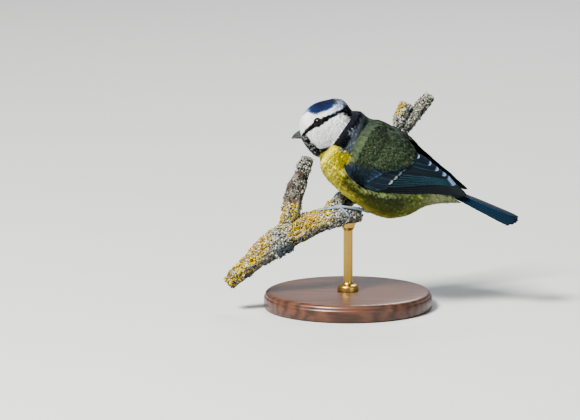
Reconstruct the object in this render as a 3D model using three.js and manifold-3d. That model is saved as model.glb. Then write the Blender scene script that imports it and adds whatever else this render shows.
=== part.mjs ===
// A life-size blue tit on a cut length of lichened branch, held up by a plain display stand.
// Millimetres, +Z up. The origin is the middle of the underside of the stand's base.
// The bird faces -X with its left side towards -Y, and leans its back a little to that side.

import * as THREE from "three";
import { mergeVertices } from "three/addons/utils/BufferGeometryUtils.js";
import Module from "manifold-3d";

const wasm = await Module();
wasm.setup();

// Room kept between pieces that touch.
const GAP = 0.3;

// Where the bird is, and how it holds itself, in degrees.
const BODY_AT = new THREE.Vector3(-4.8, -2, 80.6);
const BODY_PITCH = 29.5;
const BODY_ROLL = 10;
const HEAD_AT = new THREE.Vector3(-10, -2.6, 87.6);
const HEAD_PITCH = -23;
const HEAD_ROLL = 3;

// Sections of the trunk: place along the axis, back, belly and half width.
const BODY_ROWS = [
  [-7, 13.6, -10.8, 10],
  [-3, 16.8, -14.8, 12.4],
  [2, 17.6, -17.8, 14.1],
  [8, 18.2, -19.9, 15.6],
  [14, 18.9, -21.4, 16.4],
  [22, 18.5, -22.3, 16.8],
  [30, 16.8, -23.1, 16.2],
  [36, 15, -22, 14.8],
  [41, 13.3, -19.4, 12.9],
  [45, 12, -15.9, 11],
  [49, 10.9, -9.8, 9],
  [53, 10, -5.4, 7.2],
  [58, 9.1, -1.8, 5.6],
  [66, 8.2, 2.6, 3.6],
];
// Sections of the smooth form that a folded wing lies on.
const WING_ROWS = [
  [4, 14, -14, 12.2],
  [10, 16.4, -17.5, 14.2],
  [18, 17, -20.5, 14.9],
  [26, 16.2, -21.5, 14.8],
  [34, 14.6, -19.5, 13.6],
  [42, 12.9, -13, 11.6],
  [50, 11.5, -5, 9.2],
  [58, 10.6, 0.6, 6.8],
  [64, 10, 3.2, 5.2],
  [70, 9.5, 4.6, 4.2],
];
// Sections of the head from the face back, in its own frame.
const HEAD_ROWS = [
  [-13.6, 2.6, -4.2, 2.6],
  [-12.9, 4.9, -6.8, 4.4],
  [-11.4, 7.3, -10.2, 6.7],
  [-9, 9.6, -12.3, 8.9],
  [-5.5, 11.4, -13, 10.7],
  [-1.5, 12.2, -13.4, 11.5],
  [3, 11.9, -13.2, 11.5],
  [7, 11.1, -12.4, 10.7],
  [10.5, 9.2, -10.5, 9],
  [13.5, 4.6, -7, 6.2],
];
// Sections of the closed bill from inside the face to the tip, in the head's frame.
const BILL_ROWS = [
  [-10, 3.3, -1.2, 2.3],
  [-12.6, 3.3, -0.9, 2.05],
  [-14.4, 3, -0.4, 1.5],
  [-16.3, 2.35, 0.45, 0.9],
  [-17.9, 1.5, 1, 0.35],
];
const SECTION_ROUNDNESS = 0.92;

// Planes across the neck, as the axis place where each one cuts it and their shared lean.
const NECK_LEAN = -0.142;
const HEAD_ENDS = -1.9;
const NECK_ENDS = 3.8;
const RUMP_ENDS = 57;

// The eye: its place in the head's frame, ball, and lids.
const EYE_AT = [-2.7, 5.2];
const EYE_RADIUS = 2.3;
const EYE_PROUD = 0.7;
const LID_RADIUS = 0.32;

// The line of the mouth in the head's frame, and the nostrils beside the base of the bill.
const MOUTH_HEIGHT = 1.05;
const MOUTH_GAP = 0.25;
const NOSTRIL = { at: [-13.7, 1.2, 2.4], radius: 0.32 };

// Feather plates.
const VANE_THICK = 0.5;
const SHAFT_RAISE = 0.14;
const VANE_STEP = 0.13;

// The tail, in the trunk's frame: its root, length, rise, twist and the spread of its six pairs.
const TAIL = {
  root: [56, 5.4],
  length: 37,
  rise: 7.4,
  roll: 3,
  pairs: 6,
  rootHalf: 3,
  tipHalf: 5.4,
  vaneHalf: 2.6,
  step: 0.34,
  arch: 0.05,
};

// The branch, as points along the middle of each limb, and its radius at each of those points.
const LOWER_LIMB = {
  path: [
    [-56.7, -8, 12.9],
    [-45.2, -6, 23.3],
    [-34, -4, 32.2],
    [-22.4, -2, 38.2],
    [-11.5, -0.8, 41.8],
    [-2.4, 0, 43.8],
    [6.2, 0.4, 44.6],
  ],
  radii: [3.4, 4.4, 5.8, 6.5, 5.6, 4.7, 3.3],
};
const UPPER_LIMB = {
  path: [
    [-9.5, 1, 43.6],
    [-5.7, 5.6, 47.8],
    [-1.6, 10.6, 49.6],
    [4.2, 16, 52.2],
    [11.4, 21.5, 62.4],
    [20.5, 26, 74.8],
    [28.5, 29, 83.8],
    [39.5, 33, 96.6],
  ],
  radii: [4, 4, 3.8, 3.6, 3.4, 3.5, 3.3, 2.8],
};
const FRONT_SPUR = {
  path: [
    [-28, -2, 40],
    [-26.8, -1, 48.5],
    [-25.4, 0, 55.5],
    [-22.2, 1, 63.5],
    [-19.2, 1.6, 71.8],
  ],
  radii: [4.6, 4.5, 4.7, 3.6, 3],
};
const BACK_SPUR = {
  path: [
    [24.5, 27, 80],
    [25, 27, 86],
    [28, 27.5, 94],
  ],
  radii: [2.9, 3, 2.6],
};
const BARK_BUMP = 0.075;

// Legs and feet. Each foot grips a limb at a share of its length, a turn round it from its top
// in degrees, positive towards the far side. Each toe then runs along in millimetres and round
// in degrees, and ends in a claw.
const TARSUS_RADIUS = 0.75;
const LEGS = {
  left: { limb: "lower", heel: [9.3, -4.6, 47.2], share: 0.876, turn: -14 },
  right: { limb: "upper", heel: [10.8, 6.4, 50.2], share: 0.2, turn: -22 },
};
const TOES = {
  left: [
    { along: -7.5, from: 8, to: 92, radius: 0.66, claw: 3.2 },
    { along: -12.5, from: 4, to: 52, radius: 0.72, claw: 3.4 },
    { along: -11, from: -4, to: 12, radius: 0.66, claw: 3.2 },
    { along: 3.2, from: -8, to: -78, radius: 0.74, claw: 4.2 },
  ],
  right: [
    { along: -5, from: 6, to: 88, radius: 0.66, claw: 2.8 },
    { along: 0.5, from: 6, to: 112, radius: 0.72, claw: 3.2 },
    { along: 6, from: 6, to: 92, radius: 0.66, claw: 2.8 },
    { along: 0.5, from: -8, to: -66, radius: 0.74, claw: 3.6 },
  ],
};

// The stand.
const BASE_RADIUS = 40;
const BASE_THICK = 8;
const ROD_RADIUS = 2.2;
const COLLAR = { radius: 5, height: 2.6 };

const rad = THREE.MathUtils.degToRad;
const lerp = THREE.MathUtils.lerp;
const clamp = THREE.MathUtils.clamp;
const smoothstep = THREE.MathUtils.smoothstep;

// A smooth curve through (place, value) pairs.
function through(places, values) {
  const slopes = values.map((_, i) => {
    const a = Math.max(i - 1, 0);
    const b = Math.min(i + 1, values.length - 1);
    return (values[b] - values[a]) / (places[b] - places[a]);
  });
  return (x) => {
    const last = places.length - 2;
    let i = 0;
    while (i < last && (x - places[i + 1]) * Math.sign(places[1] - places[0]) > 0) i++;
    const span = places[i + 1] - places[i];
    const t = clamp((x - places[i]) / span, 0, 1);
    const rest = 1 - t;
    return (
      values[i] * (1 + 2 * t) * rest * rest +
      values[i + 1] * t * t * (3 - 2 * t) +
      span * (slopes[i] * t * rest * rest - slopes[i + 1] * t * t * rest)
    );
  };
}

// The three curves of a table of sections.
function sections(rows) {
  const column = (n) => through(rows.map((r) => r[0]), rows.map((r) => r[n]));
  return { start: rows[0][0], end: rows[rows.length - 1][0], top: column(1), bottom: column(2), half: column(3) };
}

const BODY = sections(BODY_ROWS);
const WING = sections(WING_ROWS);
const HEAD = sections(HEAD_ROWS);
const BILL = sections(BILL_ROWS);

// A point on a section: turn is 0 at the top and grows towards +Y, and grow lies outside the surface.
function onSection(form, place, turn, grow = 0) {
  const top = form.top(place) + grow;
  const bottom = form.bottom(place) - grow;
  const half = form.half(place) + grow;
  const power = (v) => Math.sign(v) * Math.abs(v) ** SECTION_ROUNDNESS;
  return [place, half * power(Math.sin(turn)), (top + bottom) / 2 + ((top - bottom) / 2) * power(Math.cos(turn))];
}

// A closed body from a geometry, with its faces turned outwards.
function solid(geometry) {
  const bare = new THREE.BufferGeometry().setAttribute("position", geometry.getAttribute("position"));
  bare.setIndex(geometry.getIndex());
  const merged = mergeVertices(bare, 1e-4);
  const triVerts = new Uint32Array(merged.index.array);
  const make = () =>
    new wasm.Manifold(new wasm.Mesh({ numProp: 3, vertProperties: merged.attributes.position.array, triVerts }));
  const made = make();
  if (made.volume() > 0) return made;
  for (let i = 0; i < triVerts.length; i += 3) [triVerts[i], triVerts[i + 1]] = [triVerts[i + 1], triVerts[i]];
  return make();
}

function fuse(bodies) {
  return bodies.reduce((all, body) => all.add(body));
}

// The largest closed surface of a body, with slivers from the cuts smoothed away.
function largest(body) {
  const parts = body.simplify(0.02).decompose();
  return parts.reduce((a, b) => (b.volume() > a.volume() ? b : a));
}

// The part of a body between two planes, given as [normal, offset] and kept on the normal's side.
function trimmed(body, ...planes) {
  return planes.reduce((left, [normal, offset]) => left.trimByPlane(normal, offset), body);
}

function moved(body, matrix) {
  return body.transform(matrix.elements);
}

// A skin over rings that starts and ends in a point: pointAt(ring, turn).
function spun(around, rings, pointAt) {
  const geometry = new THREE.SphereGeometry(1, around, rings);
  const position = geometry.getAttribute("position");
  for (let ring = 0; ring <= rings; ring++)
    for (let i = 0; i <= around; i++)
      position.setXYZ(ring * (around + 1) + i, ...pointAt(ring, ((i % around) / around) * 2 * Math.PI));
  return solid(geometry);
}

// A closed form through a table of sections, blunt at both ends.
function lofted(form, around, rings, grow = 0, shape = onSection) {
  return spun(around, rings, (ring, turn) => {
    const run = (1 - Math.cos((Math.PI * ring) / rings)) / 2;
    const blunt = Math.sqrt(Math.max(0, 1 - Math.abs(2 * run - 1) ** 12));
    const place = lerp(form.start, form.end, run);
    const [x, y, z] = shape(form, place, turn, grow);
    const middle = (form.top(place) + form.bottom(place)) / 2;
    return [x, y * blunt, lerp(middle, z, blunt)];
  });
}

// A tube along a curve, with flat ends. radiusAt(share of the length, turn).
function tube(curve, around, steps, radiusAt) {
  const frames = curve.computeFrenetFrames(steps);
  return spun(around, steps + 2, (ring, turn) => {
    const step = clamp(ring - 1, 0, steps);
    const centre = curve.getPointAt(step / steps);
    const radius = ring === 0 || ring === steps + 2 ? 0 : radiusAt(step / steps, turn);
    return centre
      .addScaledVector(frames.normals[step], radius * Math.cos(turn))
      .addScaledVector(frames.binormals[step], radius * Math.sin(turn))
      .toArray();
  });
}

// A thin plate of rows by columns, with both faces split alike. pointAt(along, across, outer face).
function plate(rows, columns, pointAt) {
  const places = [];
  const faces = [];
  const wide = columns + 1;
  const at = (i, j, outer) => (outer ? 0 : (rows + 1) * wide) + i * wide + j;
  for (const outer of [true, false])
    for (let i = 0; i <= rows; i++)
      for (let j = 0; j <= columns; j++) places.push(...pointAt(i / rows, (2 * j) / columns - 1, outer));
  const quad = (a, b, c, d) => faces.push(a, b, c, a, c, d);
  for (let i = 0; i < rows; i++)
    for (let j = 0; j < columns; j++) {
      quad(at(i, j, true), at(i + 1, j, true), at(i + 1, j + 1, true), at(i, j + 1, true));
      const [a, b, c, d] = [at(i, j, false), at(i + 1, j, false), at(i + 1, j + 1, false), at(i, j + 1, false)];
      faces.push(a, c, b, a, d, c);
    }
  for (let i = 0; i < rows; i++)
    for (const [j, turned] of [[0, false], [columns, true]]) {
      const [a, b, c, d] = [at(i, j, true), at(i, j, false), at(i + 1, j, false), at(i + 1, j, true)];
      turned ? quad(a, d, c, b) : quad(a, b, c, d);
    }
  for (let j = 0; j < columns; j++)
    for (const [i, turned] of [[0, false], [rows, true]]) {
      const [a, b, c, d] = [at(i, j, true), at(i, j + 1, true), at(i, j + 1, false), at(i, j, false)];
      turned ? quad(a, d, c, b) : quad(a, b, c, d);
    }
  const geometry = new THREE.BufferGeometry();
  geometry.setAttribute("position", new THREE.Float32BufferAttribute(places, 3));
  return solid(geometry.setIndex(faces));
}

// How wide a feather is along its length, from a narrow root to a rounded tip.
function vaneOutline(along) {
  return Math.min(1, 0.6 + 1.6 * along) * Math.sqrt(Math.max(0.05, 1 - along ** 7));
}

// A folded wing feather, from root to tip as [axis place, degrees round the trunk], on the left side.
// A long feather is folded a little along its shaft, and a short one is plain.
function wingVane({ root, tip, half, lift, bow = 0, long = false }) {
  return plate(3, long ? 2 : 1, (run, across, outer) => {
    const along = 1 - (1 - run) ** 1.35;
    const place = lerp(root[0], tip[0], along);
    const middle = lerp(root[1], tip[1], along) + bow * 4 * along * (1 - along);
    const reach = (WING.half(place) + (WING.top(place) - WING.bottom(place)) / 2) / 2 + lift;
    const turn = rad(middle) + (across * half * vaneOutline(along)) / reach;
    const raise = lift + (outer ? VANE_THICK : 0) + (across === 0 ? SHAFT_RAISE : 0);
    return onSection(WING, place, -turn, raise);
  });
}

// A row of like feathers whose roots, tips, widths and lifts run evenly from the first to the last.
function vaneRow(count, first, last) {
  return Array.from({ length: count }, (_, i) => {
    const t = count > 1 ? i / (count - 1) : 0;
    const between = (key) => first[key].map((v, n) => lerp(v, last[key][n], t));
    return wingVane({
      root: between("root"),
      tip: between("tip"),
      half: lerp(first.half, last.half, t),
      lift: lerp(first.lift, last.lift, t),
      bow: lerp(first.bow ?? 0, last.bow ?? 0, t),
      long: first.long,
    });
  });
}

// The lower edge of the folded wing, in degrees round the trunk, and its upper edge.
const lowEdge = through([6, 16, 25, 36, 49, 60], [103, 109, 100, 89, 86, 76]);
const HIGH_EDGE = 14;

// The arm and shoulder under the small coverts and scapulars: a pad that thins towards its edges.
const PAD = { start: 6.5, lowEnd: 22, highEnd: 32, edge: 0.9, crown: 2.3 };
function wingPad() {
  return plate(6, 6, (along, across, outer) => {
    const up = (across + 1) / 2;
    const end = lerp(PAD.lowEnd, PAD.highEnd, smoothstep(up, 0, 0.75));
    const round = 3.2 * Math.abs(across) ** 3;
    const place = lerp(PAD.start + round, end - round * 0.5, along);
    const turn = rad(lerp(lowEdge(place) + 1, HIGH_EDGE, up));
    const crown = Math.sin(Math.PI * clamp(along, 0.04, 0.96)) ** 0.5 * Math.cos((across * Math.PI) / 2.6) ** 0.5;
    return onSection(WING, place, -turn, outer ? lerp(PAD.edge, PAD.crown, crown) : 0);
  });
}

function leftWing() {
  const primaryTips = [[60.6, 78], [63.6, 68], [65.2, 58], [64.4, 50], [62.2, 43], [60, 36]];
  const primaries = primaryTips.map((tip, i) =>
    wingVane({ root: [18 + i, 105 - 4.6 * i], tip, half: 2.5, lift: VANE_STEP * i, bow: 0.7 * i - 3, long: true }),
  );
  const secondaries = vaneRow(
    4,
    { root: [20, 92], tip: [58.2, 30], half: 3, lift: 0.95, bow: 9, long: true },
    { root: [26, 66], tip: [54.4, 23], half: 3.1, lift: 0.95 + 3 * VANE_STEP, bow: 6, long: true },
  );
  const tertials = vaneRow(
    3,
    { root: [26, 56], tip: [51.8, 21], half: 3.3, lift: 1.45, bow: 4, long: true },
    { root: [26, 34], tip: [43.3, 20], half: 3.6, lift: 1.8, bow: 3, long: true },
  );
  const greaterCoverts = vaneRow(
    6,
    { root: [18, 98], tip: [28.2, 91], half: 2.4, lift: 1.4 },
    { root: [26, 36], tip: [37, 25], half: 2.9, lift: 2.1 },
  );
  const primaryCoverts = vaneRow(
    2,
    { root: [11, 107], tip: [20.5, 106], half: 1.5, lift: 0.9 },
    { root: [15, 103], tip: [27.4, 98], half: 1.6, lift: 1.2 },
  );
  const medianCoverts = vaneRow(
    4,
    { root: [13, 98], tip: [22, 92], half: 2.6, lift: 1.8 },
    { root: [21, 50], tip: [30, 52], half: 3, lift: 2.2 },
  );
  const scapulars = vaneRow(
    2,
    { root: [24, 42], tip: [33.6, 41], half: 3.8, lift: 2.1 },
    { root: [25, 24], tip: [34.4, 22], half: 3.8, lift: 2.2 },
  );
  const feathers = [primaries, secondaries, tertials, greaterCoverts, primaryCoverts, medianCoverts, scapulars];
  return fuse([wingPad(), ...feathers.flat()]);
}

// The share of the trunk's surface that the folded wing covers, from 0 to 1.
function underWing(place, turn) {
  const side = THREE.MathUtils.radToDeg(Math.abs(turn > Math.PI ? turn - 2 * Math.PI : turn));
  const high = lerp(HIGH_EDGE - 3, -8, smoothstep(place, 30, 36));
  return (
    smoothstep(side, high - 6, high) * smoothstep(lowEdge(place) + 9 - side, 0, 6) * smoothstep(place, 3.5, 7)
  );
}

function trunkShape(form, place, turn, grow) {
  const open = onSection(form, place, turn, grow);
  const nested = onSection(WING, place, turn, grow - GAP - 0.05);
  const share = underWing(place, turn);
  const middle = (form.top(place) + form.bottom(place)) / 2;
  const inside = Math.hypot(nested[1], nested[2] - middle) < Math.hypot(open[1], open[2] - middle);
  return inside ? open.map((v, n) => lerp(v, nested[n], share)) : open;
}

// Matrices of the trunk and the head, and the head's place seen from the trunk.
const bodyMatrix = new THREE.Matrix4()
  .makeTranslation(BODY_AT)
  .multiply(new THREE.Matrix4().makeRotationY(rad(BODY_PITCH)))
  .multiply(new THREE.Matrix4().makeRotationX(rad(BODY_ROLL)));
const headMatrix = new THREE.Matrix4()
  .makeTranslation(HEAD_AT)
  .multiply(new THREE.Matrix4().makeRotationY(rad(HEAD_PITCH)))
  .multiply(new THREE.Matrix4().makeRotationX(rad(HEAD_ROLL)));
const intoBody = bodyMatrix.clone().invert();
const headInBody = intoBody.clone().multiply(headMatrix);

// The eyeball on one side, in the head's frame.
function eyeCentre(side) {
  const [place, height] = EYE_AT;
  const middle = (HEAD.top(place) + HEAD.bottom(place)) / 2;
  const tall = (HEAD.top(place) - HEAD.bottom(place)) / 2;
  const half = HEAD.half(place) * Math.sqrt(1 - ((height - middle) / tall) ** 2);
  return new THREE.Vector3(place, side * (half + EYE_PROUD - EYE_RADIUS), height);
}

function ball(radius, centre, around = 12, rings = 9) {
  const geometry = new THREE.SphereGeometry(radius, around, rings);
  geometry.translate(...centre.toArray());
  return solid(geometry);
}

// A ring of lids round the open eye, facing out and a little forward.
function lids(side) {
  const openHalf = Math.sqrt(EYE_RADIUS ** 2 - (EYE_RADIUS - EYE_PROUD) ** 2);
  const ring = new THREE.TorusGeometry(openHalf + 0.1, LID_RADIUS, 6, 14);
  ring.rotateX(Math.PI / 2).rotateZ(side * rad(-10)).rotateX(side * rad(8));
  const out = eyeCentre(side).add(new THREE.Vector3(-0.25, side * (EYE_RADIUS - EYE_PROUD), 0.2));
  return solid(ring.translate(...out.toArray()));
}

// Feather edges of the feathered shank above each heel, as a drop that sinks into the belly.
function shank(side) {
  const heel = new THREE.Vector3(...LEGS[side].heel);
  const geometry = new THREE.SphereGeometry(1, 12, 10).scale(4, 2.6, 2.4).rotateY(rad(24));
  geometry.translate(heel.x + 1.8, heel.y + (side === "left" ? 0.3 : -0.3), heel.z + 1.8);
  return moved(solid(geometry), intoBody);
}

// Head, neck, torso and tail coverts, modelled whole and parted by thin cuts, in the trunk's frame.
function headSolid(grow = 0) {
  return moved(lofted(HEAD, 26, 16, grow), headInBody);
}

function fleshPieces() {
  const whole = fuse([headSolid(), lofted(BODY, 30, 26, 0, trunkShape), shank("left"), shank("right")]);
  const plane = (place) => [Math.hypot(1, NECK_LEAN), place];
  const [scale] = plane(0);
  const facing = [1 / scale, 0, NECK_LEAN / scale];
  const back = facing.map((v) => -v);
  const cut = (place) => place / scale;
  const eyes = [-1, 1].map((side) => moved(ball(EYE_RADIUS + GAP, eyeCentre(side)), headInBody));
  const ring = [-1, 1].map((side) => moved(lids(side), headInBody));
  const head = fuse([trimmed(whole, [back, -cut(HEAD_ENDS)]), ...ring]);
  return {
    head: eyes.reduce((left, eye) => left.subtract(eye), head),
    neck: trimmed(whole, [facing, cut(HEAD_ENDS) + GAP], [back, -cut(NECK_ENDS)]),
    torso: trimmed(whole, [facing, cut(NECK_ENDS) + GAP], [[-1, 0, 0], -RUMP_ENDS]),
    tailCoverts: trimmed(whole, [[1, 0, 0], RUMP_ENDS + GAP]),
  };
}

// One tail feather. Across is its place in the fan, from -1 at the left edge to 1 at the right.
function tailVane(pair, side) {
  const spread = (side * (pair + 0.4)) / (TAIL.pairs - 0.6);
  const shorter = [1.6, 0.7, 0.2, 0, 0.3, 1.4][pair];
  const rise = rad(TAIL.rise);
  return plate(5, 2, (run, across, outer) => {
    const along = 1 - (1 - run) ** 1.25;
    const reach = (TAIL.length - shorter) * along;
    const outline = Math.min(1, 0.45 + 1.2 * along) * Math.sqrt(Math.max(0.04, 1 - along ** 14));
    const fan = spread * lerp(TAIL.rootHalf, TAIL.tipHalf, along) + across * TAIL.vaneHalf * outline;
    const height =
      -pair * TAIL.step - (side > 0 ? 0.12 : 0) - TAIL.arch * fan * fan * along + (across === 0 ? SHAFT_RAISE : 0);
    const lift = height + (outer ? VANE_THICK : 0) + 0.5;
    const roll = rad(TAIL.roll);
    const y = fan * Math.cos(roll) - lift * Math.sin(roll);
    const up = fan * Math.sin(roll) + lift * Math.cos(roll);
    return [
      TAIL.root[0] + reach * Math.cos(rise) - up * Math.sin(rise),
      y,
      TAIL.root[1] + reach * Math.sin(rise) + up * Math.cos(rise),
    ];
  });
}

function tailVanes() {
  const vanes = [];
  for (let pair = TAIL.pairs - 1; pair >= 0; pair--) for (const side of [1, -1]) vanes.push(tailVane(pair, side));
  return trimmed(fuse(vanes), [[1, 0, 0], RUMP_ENDS + GAP]);
}

function bill() {
  return lofted(BILL, 14, 12);
}

// A limb of the branch. Its bark swells and dips round and along it.
const curveOf = (limb) => new THREE.CatmullRomCurve3(limb.path.map((p) => new THREE.Vector3(...p)));
function limbRadius(limb, share, turn, phase) {
  const last = limb.radii.length - 1;
  const base = through(limb.radii.map((_, i) => i / last), limb.radii)(share);
  const knots =
    Math.sin(3 * turn + 9 * share + phase) +
    Math.sin(2 * turn - 23 * share + 2 * phase) +
    0.8 * Math.sin(5 * turn + 41 * share + 3 * phase);
  return base * (1 + BARK_BUMP * knots * 0.6);
}
function limbSolid({ limb, phase, around, steps }, grow = 0) {
  return tube(curveOf(limb), around, steps, (share, turn) => limbRadius(limb, share, turn, phase) + grow);
}

// What it takes to find places on a limb's bark.
const bark = (limb, phase, around, steps) => {
  const curve = curveOf(limb);
  return { limb, phase, around, steps, curve, frames: curve.computeFrenetFrames(steps), long: curve.getLength() };
};
const BARKS = { lower: bark(LOWER_LIMB, 0.4, 16, 22), upper: bark(UPPER_LIMB, 1.7, 12, 22) };

// A place over a limb's bark: share of its length, degrees from its top, and room above it.
function onBark({ limb, phase, curve, frames, steps }, place, angle, room) {
  const share = clamp(place, 0, 1);
  const tangent = curve.getTangentAt(share);
  const far = new THREE.Vector3(0, 1, 0).addScaledVector(tangent, -tangent.y).normalize();
  const top = new THREE.Vector3().crossVectors(tangent, far).normalize();
  if (top.z < 0) top.negate();
  const out = top.multiplyScalar(Math.cos(rad(angle))).addScaledVector(far, Math.sin(rad(angle)));
  const step = Math.round(share * steps);
  const turn = Math.atan2(out.dot(frames.binormals[step]), out.dot(frames.normals[step]));
  return curve.getPointAt(share).addScaledVector(out, limbRadius(limb, share, turn, phase) + room);
}

// A foot: four digits that wrap the limb, each tapering into its curved claw.
function foot(side) {
  const { share, turn, limb } = LEGS[side];
  const on = BARKS[limb];
  const digits = TOES[side].map((toe) => {
    const place = (t, room) => onBark(on, share + (toe.along * t) / on.long, turn + lerp(toe.from, toe.to, t), room);
    const steps = 5;
    const points = Array.from({ length: steps + 1 }, (_, i) => {
      const t = i / steps;
      return place(t, toe.radius * lerp(1.25, 0.95, t) + GAP + 0.25 * Math.sin(Math.PI * t));
    });
    const ahead = points[steps].clone().sub(points[steps - 1]).normalize();
    const out = points[steps].clone().sub(place(1, 0)).normalize();
    const tip = points[steps];
    points.push(tip.clone().addScaledVector(ahead, toe.claw * 0.55).addScaledVector(out, 0.5));
    points.push(tip.clone().addScaledVector(ahead, toe.claw).addScaledVector(out, -0.25));
    return tube(new THREE.CatmullRomCurve3(points), 5, 10, (t) => {
      const pads = 1 + 0.13 * Math.cos(t * 6 * Math.PI);
      return toe.radius * (t < 0.7 ? lerp(1, 0.85, t / 0.7) * pads : lerp(0.7, 0.2, (t - 0.7) / 0.3));
    });
  });
  const joint = ball(1.15, onBark(on, share, turn, 1.15 + GAP), 8, 6);
  return fuse([joint, ...digits]);
}

// The bare shank from the heel to the foot's joint, with a knob at the heel.
function leg(side) {
  const { heel, share, turn, limb } = LEGS[side];
  const top = new THREE.Vector3(...heel);
  const joint = onBark(BARKS[limb], share, turn, 1.15 + GAP);
  const inside = top.clone().addScaledVector(top.clone().sub(joint).normalize(), 1.5);
  const bow = top.clone().lerp(joint, 0.5).add(new THREE.Vector3(0, 0, 0.35));
  const curve = new THREE.CatmullRomCurve3([inside, top, bow, joint]);
  const knob = (t) => 1 + 0.35 * Math.exp(-(((t - 0.12) / 0.08) ** 2)) + 0.2 * Math.exp(-(((t - 1) / 0.12) ** 2));
  return tube(curve, 8, 9, (t) => TARSUS_RADIUS * knob(t));
}

// The rod: a turned collar at its foot, and a top shaped to the underside of the branch.
function rod() {
  const foot = BASE_THICK + GAP;
  const collarTop = foot + COLLAR.height;
  const profile = [
    [0, foot],
    [COLLAR.radius, foot],
    [COLLAR.radius, collarTop - 0.8],
    [COLLAR.radius - 0.8, collarTop],
    [ROD_RADIUS, collarTop],
    [ROD_RADIUS, 37],
    [ROD_RADIUS + 1, 39],
    [ROD_RADIUS + 1, 44],
    [0, 44],
  ];
  return turned(profile, 20);
}

function base() {
  const profile = [
    [0, 0],
    [BASE_RADIUS - 0.8, 0],
    [BASE_RADIUS, 0.8],
    [BASE_RADIUS, BASE_THICK - 2.4],
    [BASE_RADIUS - 0.9, BASE_THICK - 0.9],
    [BASE_RADIUS - 2.6, BASE_THICK],
    [0, BASE_THICK],
  ];
  return turned(profile, 40);
}

// A turned piece that stands on +Z.
function turned(profile, around) {
  const geometry = new THREE.LatheGeometry(profile.map(([r, z]) => new THREE.Vector2(r, z)), around);
  return solid(geometry.rotateX(Math.PI / 2));
}

const FINISHES = {
  plumage: { color: 0x7f8c4a, roughness: 0.9 },
  white: { color: 0xdfe3e6, roughness: 0.9 },
  navy: { color: 0x27344e, roughness: 0.85 },
  wing: { color: 0x3f5a70, roughness: 0.7 },
  tail: { color: 0x2c4d70, roughness: 0.7 },
  bill: { color: 0x30343a, roughness: 0.45 },
  eye: { color: 0x120c0a, roughness: 0.08 },
  leg: { color: 0x6d7c8a, roughness: 0.6 },
  bark: { color: 0x8a8678, roughness: 0.95 },
  lichen: { color: 0xc7a52e, roughness: 0.95 },
  wood: { color: 0x3a2a20, roughness: 0.5 },
  brass: { color: 0xa98a4c, roughness: 0.35, metalness: 1 },
};

function mesh(name, body, finish) {
  const { numProp, vertProperties, triVerts } = largest(body).getMesh();
  const places = new Float32Array((vertProperties.length / numProp) * 3);
  for (let i = 0; i < places.length / 3; i++) places.set(vertProperties.subarray(i * numProp, i * numProp + 3), i * 3);
  const geometry = new THREE.BufferGeometry();
  geometry.setAttribute("position", new THREE.BufferAttribute(places, 3));
  geometry.setIndex(new THREE.BufferAttribute(triVerts, 1));
  const made = new THREE.Mesh(geometry, new THREE.MeshStandardMaterial(FINISHES[finish]));
  made.name = name;
  return made;
}

function buildBird() {
  const flesh = fleshPieces();
  const flip = new THREE.Matrix4().makeScale(1, -1, 1);
  const trunkGrown = fuse([lofted(BODY, 30, 26, GAP, trunkShape), headSolid(GAP)]);
  const tail = fuse([flesh.tailCoverts, tailVanes()]);
  const tailRoom = fuse([moved(tail, new THREE.Matrix4().makeTranslation(0, 0, GAP)), tail]);
  const left = leftWing();
  const wings = { left, right: moved(left, flip) };

  const bird = new THREE.Group();
  const tilted = new THREE.Group();
  bird.position.copy(BODY_AT);
  bird.rotation.y = rad(BODY_PITCH);
  tilted.rotation.x = rad(BODY_ROLL);
  bird.add(tilted);
  tilted.add(mesh("head", flesh.head, "white"), mesh("neck", flesh.neck, "navy"), mesh("torso", flesh.torso, "plumage"));
  for (const [side, wing] of Object.entries(wings)) {
    const outward = side === "left" ? -1 : 1;
    const own = trimmed(wing, [[0, outward, 0], GAP / 2]);
    tilted.add(mesh(`wing_${side}`, own.subtract(trunkGrown).subtract(tailRoom), "wing"));
  }
  tilted.add(mesh("tail", tail, "tail"));

  const headGroup = new THREE.Group();
  headInBody.decompose(headGroup.position, headGroup.quaternion, headGroup.scale);
  tilted.add(headGroup);
  const closed = bill().subtract(lofted(HEAD, 26, 16, GAP));
  const nostrils = [-1, 1].map((side) => ball(NOSTRIL.radius, new THREE.Vector3(NOSTRIL.at[0], side * NOSTRIL.at[1], NOSTRIL.at[2]), 8, 6));
  const upper = trimmed(closed, [[0, 0, 1], MOUTH_HEIGHT + MOUTH_GAP / 2]);
  headGroup.add(mesh("bill_upper", nostrils.reduce((left, hole) => left.subtract(hole), upper), "bill"));
  headGroup.add(mesh("bill_lower", trimmed(closed, [[0, 0, -1], -(MOUTH_HEIGHT - MOUTH_GAP / 2)]), "bill"));
  for (const [side, outward] of [["left", -1], ["right", 1]])
    headGroup.add(mesh(`eye_${side}`, ball(EYE_RADIUS, eyeCentre(outward)), "eye"));
  return { bird, flesh: moved(fuse([lofted(BODY, 30, 26, GAP, trunkShape), shankRoom("left"), shankRoom("right")]), bodyMatrix) };
}

// A shank's feathers with the gap round them, in the trunk's frame.
function shankRoom(side) {
  const made = shank(side);
  const shifts = [[GAP, 0, 0], [-GAP, 0, 0], [0, GAP, 0], [0, -GAP, 0], [0, 0, GAP], [0, 0, -GAP]];
  return fuse([made, ...shifts.map((s) => made.translate(s))]);
}

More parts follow.
